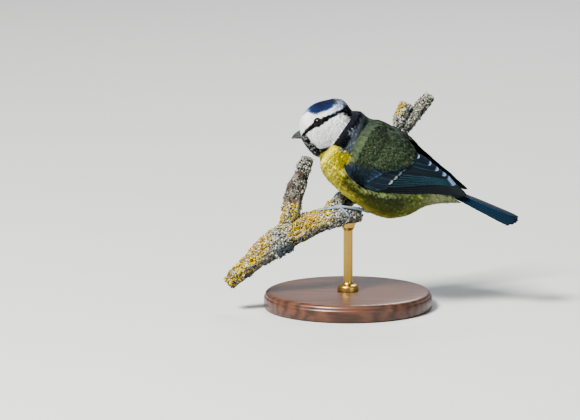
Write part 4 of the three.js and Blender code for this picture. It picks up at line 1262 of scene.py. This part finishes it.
# The scapulars: long soft green feathers that fall from the shoulder over the roots of the
# folded wing, down to the pale bar. They grow from a line along the back and lie on the coverts.
SCAPULAR_GRID = 60
SHOULDER_MIDDLE = (22.0, 0, -2)
for outward, side_name in ((-1, "left"), (1, "right")):
    steps = np.linspace(0, 1, SCAPULAR_GRID)
    down, back = np.meshgrid(steps, steps, indexing="ij")
    turn = 1 + 76 * down
    end = np.interp(turn, [0, 14, 30, 54, 68, 78], [25, 29, 31.4, 29.8, 25.5, 21])
    start = np.interp(turn, [0, 30, 78], [18, 16, 13])
    lift = 1.5 + 0.72 * soft_step(back, 0, 0.85) - 0.2 * down
    lift = lift - 0.75 * soft_fall(turn, 3, 15)
    sheet = under_wing.skin(start + (end - start) * back, outward * np.radians(turn), lift)
    points = through_matrix(trunk_place, sheet.reshape(-1, 3))
    corners = quads_of(np.arange(SCAPULAR_GRID**2).reshape(SCAPULAR_GRID, SCAPULAR_GRID))
    if outward > 0:
        corners = corners[:, ::-1]
    patch = bpy.data.meshes.new(f"scapulars_{side_name}")
    patch.from_pydata(points.tolist(), [], corners.tolist())
    normals = normals_of(patch)
    middle = through_matrix(trunk_place, np.array([SHOULDER_MIDDLE]))
    normals *= np.sign(np.sum(normals * (points - middle), axis=1))[:, None]
    set_fact(patch, "up", normals)
    set_fact(patch, "lie", lie_at(points, normals))
    set_fact(patch, "size", (0.0032 + 0.0012 * back).ravel())
    coat_of(f"scapulars_{side_name}", patch, "hair", 0.34, 9 + outward, True)


# The branch: a cut length of an old twig, forked where the bird stands, with two snapped spurs.
# Its grey bark is cracked and knotted. Each limb is the model's own limb, drawn finer and rough.
def relief_of(points, stretch, scale, octaves, seed):
    """Noise at points in metres, drawn out along a direction."""
    along = np.asarray(stretch, float)
    along /= np.linalg.norm(along)
    shift = points - 0.72 * (points @ along)[:, None] * along
    shift = shift * scale + seed
    basis = "PERLIN_ORIGINAL"
    return np.array([noise.fractal(p, 1.0, 2.1, octaves, noise_basis=basis) for p in shift.tolist()])


bark, tree, shader = finish("grey_bark", Roughness=0.92, Specular_IOR_Level=0.2)
bark_fine = grain(tree, 1300.0, 6.0, Roughness=0.65)
bark_tone = ranged(tree, bark_fine, 0.55, 1.35, 0.3, 0.7)
bark_colour = toned(tree, fact_in(tree, "hue", "Color"), bark_tone)
feed(shader, {"Base Color": bark_colour, "Normal": bumped(tree, bark_fine, 0.8, 0.0004)})
GROWTH_RING = 0.00055
BUD_PLACE = (-0.0236, -0.0030, 0.0662)
knots = [
    ((-0.0233, -0.0045, 0.0605), 0.0009),
    ((-0.0048, 0.001, 0.0535), 0.0012),
    ((0.0262, 0.023, 0.0875), 0.0009),
]
limb_meshes = {}
for name, stretch, seed, cut_end in [
    ("perch_lower_limb", (0.75, 0.1, 0.5), 3.0, (-0.0567, -0.008, 0.0129)),
    ("perch_upper_limb", (0.55, 0.35, 0.75), 11.0, (0.0395, 0.033, 0.0966)),
    ("perch_front_spur", (0.2, 0.1, 1.0), 19.0, (-0.0192, 0.0016, 0.0718)),
    ("perch_back_spur", (0.2, 0.05, 1.0), 27.0, (0.028, 0.0275, 0.094)),
]:
    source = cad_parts[name]
    limb = bpy.data.objects.new(name.replace("perch", "bark"), source.data.copy())
    bpy.context.scene.collection.objects.link(limb)
    weld = limb.modifiers.new("weld", "WELD")
    weld.merge_threshold = 0.00001
    even = limb.modifiers.new("even", "REMESH")
    even.mode = "VOXEL"
    even.voxel_size = 0.00042
    calm = limb.modifiers.new("calm", "SMOOTH")
    calm.iterations = 4
    mesh = evaluated(limb)
    mesh.materials.clear()
    mesh.materials.append(bark)
    points = points_of(mesh)
    normals = normals_of(mesh)
    broad = relief_of(points, stretch, 260.0, 3, seed)
    fine = relief_of(points, stretch, 900.0, 4, seed + 5)
    crack = soft_step(1 - np.abs(relief_of(points, stretch, 420.0, 2, seed + 9)) * 3.2, 0.45, 0.95)
    depth = 0.00045 * broad + 0.00022 * fine - 0.00060 * crack
    cut = np.linalg.norm(points - cut_end, axis=1)
    facing = np.abs(normals @ (np.asarray(stretch) / np.linalg.norm(stretch)))
    sawn = soft_fall(cut, 0.0036, 0.0045) * soft_step(facing, 0.75, 0.9)
    bud = np.exp(-((np.linalg.norm(points - BUD_PLACE, axis=1) / 0.0014) ** 2))
    points = points + normals * (depth * (1 - 0.85 * sawn) + 0.0009 * bud)[:, None]
    mesh.vertices.foreach_set("co", points.ravel())
    mesh.update()
    hue = mix(paint("4d463e"), paint("a8a193"), soft_step(broad + 0.6 * fine, -0.5, 0.6))
    brown = soft_step(relief_of(points, (1, 0, 0), 180.0, 2, seed + 40), 0.15, 0.4)
    hue = mix(hue, paint("6e5a4c"), 0.5 * brown)
    front_spur = (points[:, 0] < -0.012) * soft_step(points[:, 2], 0.048, 0.053)
    hue = mix(hue, paint("3d352d"), 0.62 * front_spur)
    hue = mix(hue, paint("1a1512"), 0.9 * bud)
    hue = mix(hue, paint("1f1b18"), 0.9 * crack)
    # Painted shade: the bark is darker where it faces down.
    hue = mix(hue, paint("332e2a"), 0.6 * soft_step(-normals[:, 2], 0.0, 0.8))
    for knot, wide in knots:
        away = np.linalg.norm(points - knot, axis=1) / wide + 0.4 * fine
        hue = mix(hue, paint("5f3522"), 0.75 * soft_fall(away, 1.0, 1.9))
    rings = 0.5 + 0.5 * np.sin(cut * 2 * math.pi / GROWTH_RING)
    hue = mix(hue, mix(paint("b39a76"), paint("7d6448"), rings), sawn)
    set_fact(mesh, "hue", hue)
    mesh.shade_smooth()
    limb_meshes[name] = mesh
    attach(limb, "root")
    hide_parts(name)


# The legs: bare blue-grey shanks in a row of plates, four long toes that wrap the bark on padded
# soles, three ahead and one behind, and hooked dark claws that bite into it.
def spline(points, count):
    """Places spread evenly along a smooth curve through points, and the curve's length."""
    points = np.array(points, float)
    points = np.vstack([2 * points[0] - points[1], points, 2 * points[-1] - points[-2]])
    fine = []
    for i in range(1, len(points) - 2):
        a, b, c, d = points[i - 1 : i + 3]
        steps = [max(math.sqrt(np.linalg.norm(q - p)), 1e-6) for p, q in ((a, b), (b, c), (c, d))]
        start = ((b - a) / steps[0] - (c - a) / (steps[0] + steps[1]) + (c - b) / steps[1]) * steps[1]
        stop = ((c - b) / steps[1] - (d - b) / (steps[1] + steps[2]) + (d - c) / steps[2]) * steps[1]
        for t in np.linspace(0, 1, 60, endpoint=False):
            h = (2 * t**3 - 3 * t**2 + 1, t**3 - 2 * t**2 + t, -2 * t**3 + 3 * t**2, t**3 - t**2)
            fine.append(h[0] * b + h[1] * start + h[2] * c + h[3] * stop)
    fine.append(points[-2])
    fine = np.array(fine)
    far = lengths_along(fine)
    at = np.linspace(0, far[-1], count)
    return np.stack([np.interp(at, far, fine[:, k]) for k in range(3)], 1), far[-1]


def lengths_along(line):
    return np.concatenate([[0], np.cumsum(np.linalg.norm(np.diff(line, axis=0), axis=1))])


limb_paths = {
    "lower": [
        (-56.7, -8, 12.9), (-45.2, -6, 23.3), (-34, -4, 32.2), (-22.4, -2, 38.2), (-11.5, -0.8, 41.8),
        (-2.4, 0, 43.8), (6.2, 0.4, 44.6),
    ],
    "upper": [
        (-9.5, 1, 43.6), (-5.7, 5.6, 47.8), (-1.6, 10.6, 49.6), (4.2, 16, 52.2), (11.4, 21.5, 62.4),
        (20.5, 26, 74.8), (28.5, 29, 83.8), (39.5, 33, 96.6),
    ],
}
LIMB_STEPS = 800
limb_lines = {key: spline(path, LIMB_STEPS + 1) for key, path in limb_paths.items()}
limb_trees = {}
for key in limb_paths:
    mesh = limb_meshes[f"perch_{key}_limb"]
    quads = [tuple(p.vertices) for p in mesh.polygons]
    limb_trees[key] = BVHTree.FromPolygons(points_of(mesh).tolist(), quads)


def on_bark(limb, share, angle, room):
    """A place over the bark: share of the limb, degrees from its top, and millimetres above it."""
    line, length = limb_lines[limb]
    at = min(max(share, 0), 1) * LIMB_STEPS
    i = int(min(at, LIMB_STEPS - 1))
    centre = line[i] + (line[i + 1] - line[i]) * (at - i)
    tangent = line[min(i + 4, LIMB_STEPS)] - line[max(i - 4, 0)]
    tangent /= np.linalg.norm(tangent)
    far = np.array([0, 1, 0]) - tangent * tangent[1]
    far /= np.linalg.norm(far)
    top = np.cross(tangent, far)
    top = top if top[2] > 0 else -top
    out = top * math.cos(math.radians(angle)) + far * math.sin(math.radians(angle))
    start = centre + out * 9
    hit = limb_trees[limb].ray_cast(Vector(start * 0.001), Vector(-out), 0.009)
    surface = np.array(hit[0]) * 1000 if hit[0] else centre + out * 4
    return surface + out * room


scute, tree, shader = finish("scaled_leg", Roughness=0.5)
pits = grain(tree, 2200.0, 3.0)
scute_colour = toned(tree, fact_in(tree, "hue", "Color"), ranged(tree, pits, 0.75, 1.25))
feed(shader, {"Base Color": scute_colour, "Normal": bumped(tree, pits, 0.3, 0.0001)})
claw_horn, tree, shader = finish("claw_horn", Roughness=0.35)
feed(shader, {"Base Color": blend(tree, grain(tree, 1800.0, 3.0), "1d1c1e", "5a564f")})


def tube(centres, radii, around):
    """Points and faces of a closed tube with a smooth frame along its centres."""
    tangents = np.gradient(centres, axis=0)
    tangents /= np.linalg.norm(tangents, axis=1)[:, None]
    seed = np.array([0.0, 0.0, 1.0]) if abs(tangents[0][2]) < 0.9 else np.array([0.0, 1.0, 0.0])
    first = np.cross(tangents[0], seed)
    turn = np.arange(around) / around * 2 * np.pi
    rings = []
    for centre, tangent, radius in zip(centres, tangents, radii):
        first = first - tangent * first.dot(tangent)
        first /= np.linalg.norm(first)
        second = np.cross(tangent, first)
        rings.append(centre + radius * (np.cos(turn)[:, None] * first + np.sin(turn)[:, None] * second))
    return closed_rings(np.array(rings), [centres[0], centres[-1]])


def scaled_tube(centres, radii, around, plate):
    """A tube ringed with low overlapping plates, and the colour that goes with them."""
    saw = (lengths_along(centres) / plate) % 1.0
    points, faces = tube(centres, radii * (1 + 0.04 * (saw - 0.5)), around)
    seam = np.exp(-((saw / 0.16) ** 2)) + np.exp(-(((saw - 1.0) / 0.10) ** 2))
    hue = mix(paint("6c7884"), paint("46505b"), np.clip(seam, 0, 1))
    return points, faces, {"hue": np.vstack([np.repeat(hue, around, 0), hue[:1], hue[-1:]])}


# Where each foot stands: its limb, its heel, the share of the limb and the degrees from its top.
# Each toe: millimetres along the limb, first and last turn, radius, and the claw's length.
ANKLE_ROOM = 1.25
SHANK_RADIUS = 0.72
legs = {
    "left": {"limb": "lower", "heel": (9.3, -4.6, 47.2), "share": 0.876, "turn": -14},
    "right": {"limb": "upper", "heel": (10.8, 6.4, 50.2), "share": 0.2, "turn": -22},
}
toes = {
    "left": [
        (-7.5, 8, 92, 0.66, 3.2), (-12.5, 4, 52, 0.72, 3.4), (-11, -4, 12, 0.66, 3.2),
        (3.2, -8, -78, 0.74, 4.2),
    ],
    "right": [
        (-5, 6, 88, 0.66, 2.8), (0.5, 6, 112, 0.72, 3.2), (6, 6, 92, 0.66, 2.8),
        (0.5, -8, -66, 0.74, 3.6),
    ],
}
to_metres = np.diag([0.001, 0.001, 0.001, 1.0])
for side, leg in legs.items():
    limb = leg["limb"]
    length = limb_lines[limb][1]
    top = np.array(leg["heel"], float)
    joint = on_bark(limb, leg["share"], leg["turn"], ANKLE_ROOM)
    above = top + (top - joint) / np.linalg.norm(top - joint) * 1.5
    bow = (top + joint) / 2 + (0, 0, 0.35)
    line = spline([above, top, bow, joint], 150)[0]
    t = np.linspace(0, 1, 150)
    knob = 1 + 0.3 * np.exp(-(((t - 0.12) / 0.08) ** 2)) + 0.2 * np.exp(-(((t - 1) / 0.12) ** 2))
    shin = gathered(f"shank_{side}", [scaled_tube(line, SHANK_RADIUS * knob, 20, 1.15)], to_metres, scute)
    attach(shin, "root")
    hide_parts(f"leg_{side}")
    digits = []
    hooks = []
    for along, first, last, radius, claw in toes[side]:
        route = []
        for t in np.linspace(0, 1, 7):
            room = radius * (1.15 - 0.25 * t) + 0.12 + 0.25 * math.sin(math.pi * t)
            angle = leg["turn"] + first + (last - first) * t
            route.append(on_bark(limb, leg["share"] + along * t / length, angle, room))
        line = spline(route, 110)[0]
        t = np.linspace(0, 1, 110)
        swell = 1 + 0.11 * np.cos(t * 5.5 * math.pi)
        digits.append(scaled_tube(line, radius * (1 - 0.22 * t) * swell, 16, 0.72))
        tip = line[-1]
        ahead = (tip - line[-6]) / np.linalg.norm(tip - line[-6])
        out = tip - on_bark(limb, leg["share"] + along / length, leg["turn"] + last, 0)
        out /= np.linalg.norm(out)
        hook = [tip - ahead * 0.5]
        for forth, rise in ((0.35, 0.45), (0.75, 0.1), (0.95, -1.0)):
            hook.append(tip + ahead * forth * claw + out * rise)
        line = spline(hook, 40)[0]
        t = np.linspace(0, 1, 40)
        hooks.append((*tube(line, radius * 0.62 * (1 - t**1.3 * 0.94), 12), {}))
    ball_points, ball_faces = rounded_drop([float(v) for v in joint], (1.15, 1.0, 1.0), 0)
    digits.append((ball_points, ball_faces, {"hue": np.tile(paint("6f8093"), (len(ball_points), 1))}))
    foot = gathered(f"toes_{side}", digits, to_metres, scute)
    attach(foot, "root")
    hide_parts(f"foot_{side}")
    claws = gathered(f"claws_{side}", hooks, to_metres, claw_horn)
    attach(claws, "root")


# The lichen on the branch: crusts and little leafy lobes about a millimetre across, grey-white
# over most of the lit bark and egg-yolk yellow in patches along the lower limb, growing out of
# the cracks and curling up at their rims. The shaded underside stays almost bare.
LOBE_MIDDLE = 0.42


def lobe_mesh(name, lobes, seed):
    """A leafy lobe one unit long, cupped and scalloped, closed above and below."""
    draw = np.random.default_rng(seed)
    turn = np.linspace(-2.5, 2.5, 4 * lobes + 1)
    reach = 0.46 + 0.13 * np.cos(turn * lobes * 1.25 + draw.uniform(-0.5, 0.5))
    reach = reach + draw.uniform(-0.05, 0.05, len(turn))
    rim = np.stack([0.48 + reach * np.cos(turn), reach * np.sin(turn)], 1)
    rim = np.vstack([rim, [(0.0, 0.12), (0.0, -0.12)]])
    flat = np.vstack([rim, [(LOBE_MIDDLE, 0.0), (LOBE_MIDDLE, 0.0)]])
    away = np.hypot(flat[:, 0] - LOBE_MIDDLE, flat[:, 1])
    wave = np.sin(turn.mean() + 5 * np.arctan2(flat[:, 1], flat[:, 0] - LOBE_MIDDLE))
    height = 0.30 * away**2 + 0.07 * wave * away
    height = height + np.concatenate([np.zeros(len(rim)), [0.05, -0.05]])
    edge = len(rim)
    faces = []
    for a in range(edge):
        b = (a + 1) % edge
        faces.append((a, b, edge))
        faces.append((b, a, edge + 1))
    return small_piece(name, np.column_stack([flat, height]), faces, {"reach": np.clip(away * 2, 0, 1)})


lobe_kinds = bpy.data.collections.new("lichen_lobes")
for k, lobes in enumerate((2, 3, 2, 3)):
    lobe_kinds.objects.link(lobe_mesh(f"lobe_{k}", lobes, 11 * k + 2))
thallus, tree, shader = finish("leafy_lichen", Roughness=0.95, Specular_IOR_Level=0.15)
dusty = grain(tree, 2600.0, 4.0)
rim_tone = ranged(tree, fact_in(tree, "reach"), 0.45, 1.08)
thallus_tone = maths(tree, "MULTIPLY", rim_tone, ranged(tree, dusty, 0.7, 1.25))
thallus_colour = toned(tree, fact_in(tree, "hue", "Color"), thallus_tone)
feed(shader, {"Base Color": thallus_colour, "Normal": bumped(tree, dusty, 0.5, 0.0001)})


def yellow_share(points):
    """Where the yellow lichen grows, from places in metres."""
    x, y, z = (points * 1000).T
    low = np.interp(
        x, [-60, -57, -43, -38, -35.5, -33, -29, -26, -9, -5], [0.5, 0.9, 1, 0.9, 0.3, 0.2, 0.4, 1, 1, 0]
    )
    patch = np.exp(-(((x + 31.5) / 3.4) ** 2 + ((z - 44) / 4.2) ** 2)) * (x < -27)
    low = np.where(z < 52, np.maximum(low, 1.2 * patch), 0)
    high = 1.1 * np.exp(-(((x - 24.5) / 2.6) ** 2 + ((z - 92.5) / 4) ** 2))
    return np.clip(np.where(x < 0, low, high), 0, 1)


def bare_wood(points):
    """Where the wood is bare between the lichens: on most of the front spur."""
    x, y, z = (points * 1000).T
    spur = (x < -12) * soft_step(z, 49, 52) * soft_fall(z, 66, 69)
    return np.clip(spur * (0.5 + 1.1 * relief_of(points, (1, 0, 0), 260.0, 2, 33)), 0, 1)


def hanging_at(points):
    """Where a tuft of larger, bluer lobes hangs under the lower limb."""
    return np.exp(-(((points[:, 0] * 1000 + 30) / 4) ** 2 + ((points[:, 2] * 1000 - 28.5) / 3.5) ** 2))


lichen_hues = {
    "yellow": [("e3c62a", 1, 0.1, 0.95), ("b9b04a", 0.7, 0.86, 0.93)],
    "grey": [("cfd4ce", 1, 0.1, 0.95), ("8e9685", 0.7, 0.85, 0.92)],
}


def lichen_on(names, piece, spacing, keep, seed):
    """The lobes of one kind of lichen, grown where the bark suits it and no foot stands."""
    limbs = [limb_meshes[name] for name in names]
    points, faces = joined([(points_of(mesh), [tuple(p.vertices) for p in mesh.polygons]) for mesh in limbs])
    normals = np.vstack([normals_of(mesh) for mesh in limbs])
    faces = np.array(faces)
    lit = normals @ unit(np.array([-0.42, -0.25, 0.87]))
    patchy = relief_of(points, (1, 0, 0), 300.0, 3, 60)
    yellow = yellow_share(points) * soft_step(lit, -0.35, 0.25) + 0.45 * patchy
    grey = soft_step(lit, -0.75, 0.1) + 0.9 * relief_of(points, (1, 0, 0), 420.0, 3, 90)
    wanted = yellow > 0.44 if keep == "yellow" else (grey > 0.42) & (yellow < 0.85)
    wanted &= bare_wood(points) < 0.35
    size = (0.65 + 0.6 * soft_step(relief_of(points, (1, 0, 0), 700.0, 2, 120), -0.3, 0.4)) * 0.001
    hanging = hanging_at(points)
    size = size * (1 + 0.9 * hanging)
    wanted = wanted | ((hanging > 0.35) & (keep == "grey"))
    for leg in legs.values():
        held = on_bark(leg["limb"], leg["share"], leg["turn"], 0) * 0.001
        wanted &= np.linalg.norm(points - held, axis=1) >= 0.0016
    inside = wanted[faces].mean(axis=1) > 0.6
    swirl = np.random.default_rng(seed).normal(size=(len(points), 3))
    up = unit(normals + 0.25 * swirl)
    facts = {"up": up, "lie": unit(np.cross(up, swirl[::-1])), "size": size}
    patch = patch_of(piece, points, faces[inside], facts)
    grown, mesh = grown_on(piece, patch, lobe_kinds, spacing, 0.30, 0.9, seed, thallus)
    own = fact_of(mesh, "own")
    hue = paint("96700c") if keep == "yellow" else paint("646b66")
    for code, most, low, high in lichen_hues[keep]:
        hue = mix(hue, paint(code), most * soft_step(own, low, high))
    if keep == "yellow":
        hue = mix(hue, paint("dfe2d8"), 0.85 * soft_fall(own, 0.16, 0.24))
    else:
        hue = mix(hue, paint("6f7f8b"), 0.8 * soft_step(hanging_at(fact_of(mesh, "root")), 0.3, 0.5))
    set_fact(mesh, "hue", hue)
    for spent in ("root", "lie", "size", "up"):
        mesh.attributes.remove(mesh.attributes[spent])
    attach(grown, "root")


low_limbs = ["perch_lower_limb", "perch_front_spur"]
high_limbs = ["perch_upper_limb", "perch_back_spur"]
lichen_on(low_limbs, "lichen_yellow_low", 0.50, "yellow", 71)
lichen_on(high_limbs, "lichen_yellow_high", 0.50, "yellow", 72)
lichen_on(low_limbs, "lichen_grey_low", 0.56, "grey", 73)
lichen_on(high_limbs, "lichen_grey_high", 0.56, "grey", 74)


# The stand: a round base turned from dark stained wood, with a small bead round its top, and a
# brass rod pushed up into the underside of the branch through a collar.
def turned_piece(name, profile, material, around=128):
    turn = (np.arange(around) / around * 2 * math.pi)[None, :]
    radius = np.array([r for r, z in profile])[:, None] * 0.001
    height = np.array([z for r, z in profile])[:, None] * 0.001
    cloud = np.stack([radius * np.cos(turn), radius * np.sin(turn), height + 0 * turn], -1)
    points, faces = closed_rings(cloud, [(0, 0, profile[0][1] * 0.001), (0, 0, profile[-1][1] * 0.001)])
    made = made_object(name, points, faces, material)
    made.data.set_sharp_from_angle(angle=math.radians(40))
    return made


def mapped(tree, scale, turn=(0, 0, 0)):
    """The object's own place, stretched and turned."""
    place = node(tree, "ShaderNodeTexCoord", out="Object")
    return node(tree, "ShaderNodeMapping", {"Vector": place, "Scale": scale, "Rotation": turn})


wood, tree, shader = finish("stained_wood", Roughness=0.38, Coat_Weight=0.25, Coat_Roughness=0.2)
figure = {
    "Vector": mapped(tree, (1, 6, 6), (0, 0.05, 0.3)),
    "Scale": 12.0, "Distortion": 7.0, "Detail": 4.0, "Detail Scale": 2.5,
}
rings = node(tree, "ShaderNodeTexWave", figure, "Fac", bands_direction="Y")
pores = grain(tree, 1.0, 4.0, mapped(tree, (90, 1400, 1400)))
wood_colour = toned(tree, blend(tree, rings, "3b241a", "59392a"), ranged(tree, pores, 0.7, 1.25))
feed(shader, {"Base Color": wood_colour, "Normal": bumped(tree, pores, 0.15, 0.0002)})
base_profile = [
    (12, 0.0), (30, 0.0), (39.2, 0.0), (39.7, 0.25), (40, 0.8), (40, 5.2), (39.8, 5.7), (39.4, 6.0),
    (39.5, 6.4), (39.3, 7.0), (38.8, 7.5), (38.1, 7.85), (37.2, 8.0), (30, 8.0), (12, 8.0),
]
base = turned_piece("base_wood", base_profile, wood)
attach(base, "root")
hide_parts("stand_base")

brass, tree, shader = finish("rod_brass", Metallic=1.0)
drawn = grain(tree, 1.0, 3.0, mapped(tree, (600, 600, 9000)))
brass_colour = blend(tree, drawn, "a88949", "c6a865")
feed(shader, {"Base Color": brass_colour, "Roughness": ranged(tree, drawn, 0.22, 0.42)})
rod_profile = [
    (5, 8.1), (5.0, 9.9), (4.8, 10.4), (4.3, 10.85), (3.6, 11.0), (2.9, 11.3), (2.3, 12.0), (2.2, 13),
    (2.2, 37), (2.5, 37.8), (3.1, 38.6), (3.2, 39.0), (3.2, 41),
]
rod = turned_piece("rod_brass", rod_profile, brass, 64)
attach(rod, "root")
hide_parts("stand_rod")
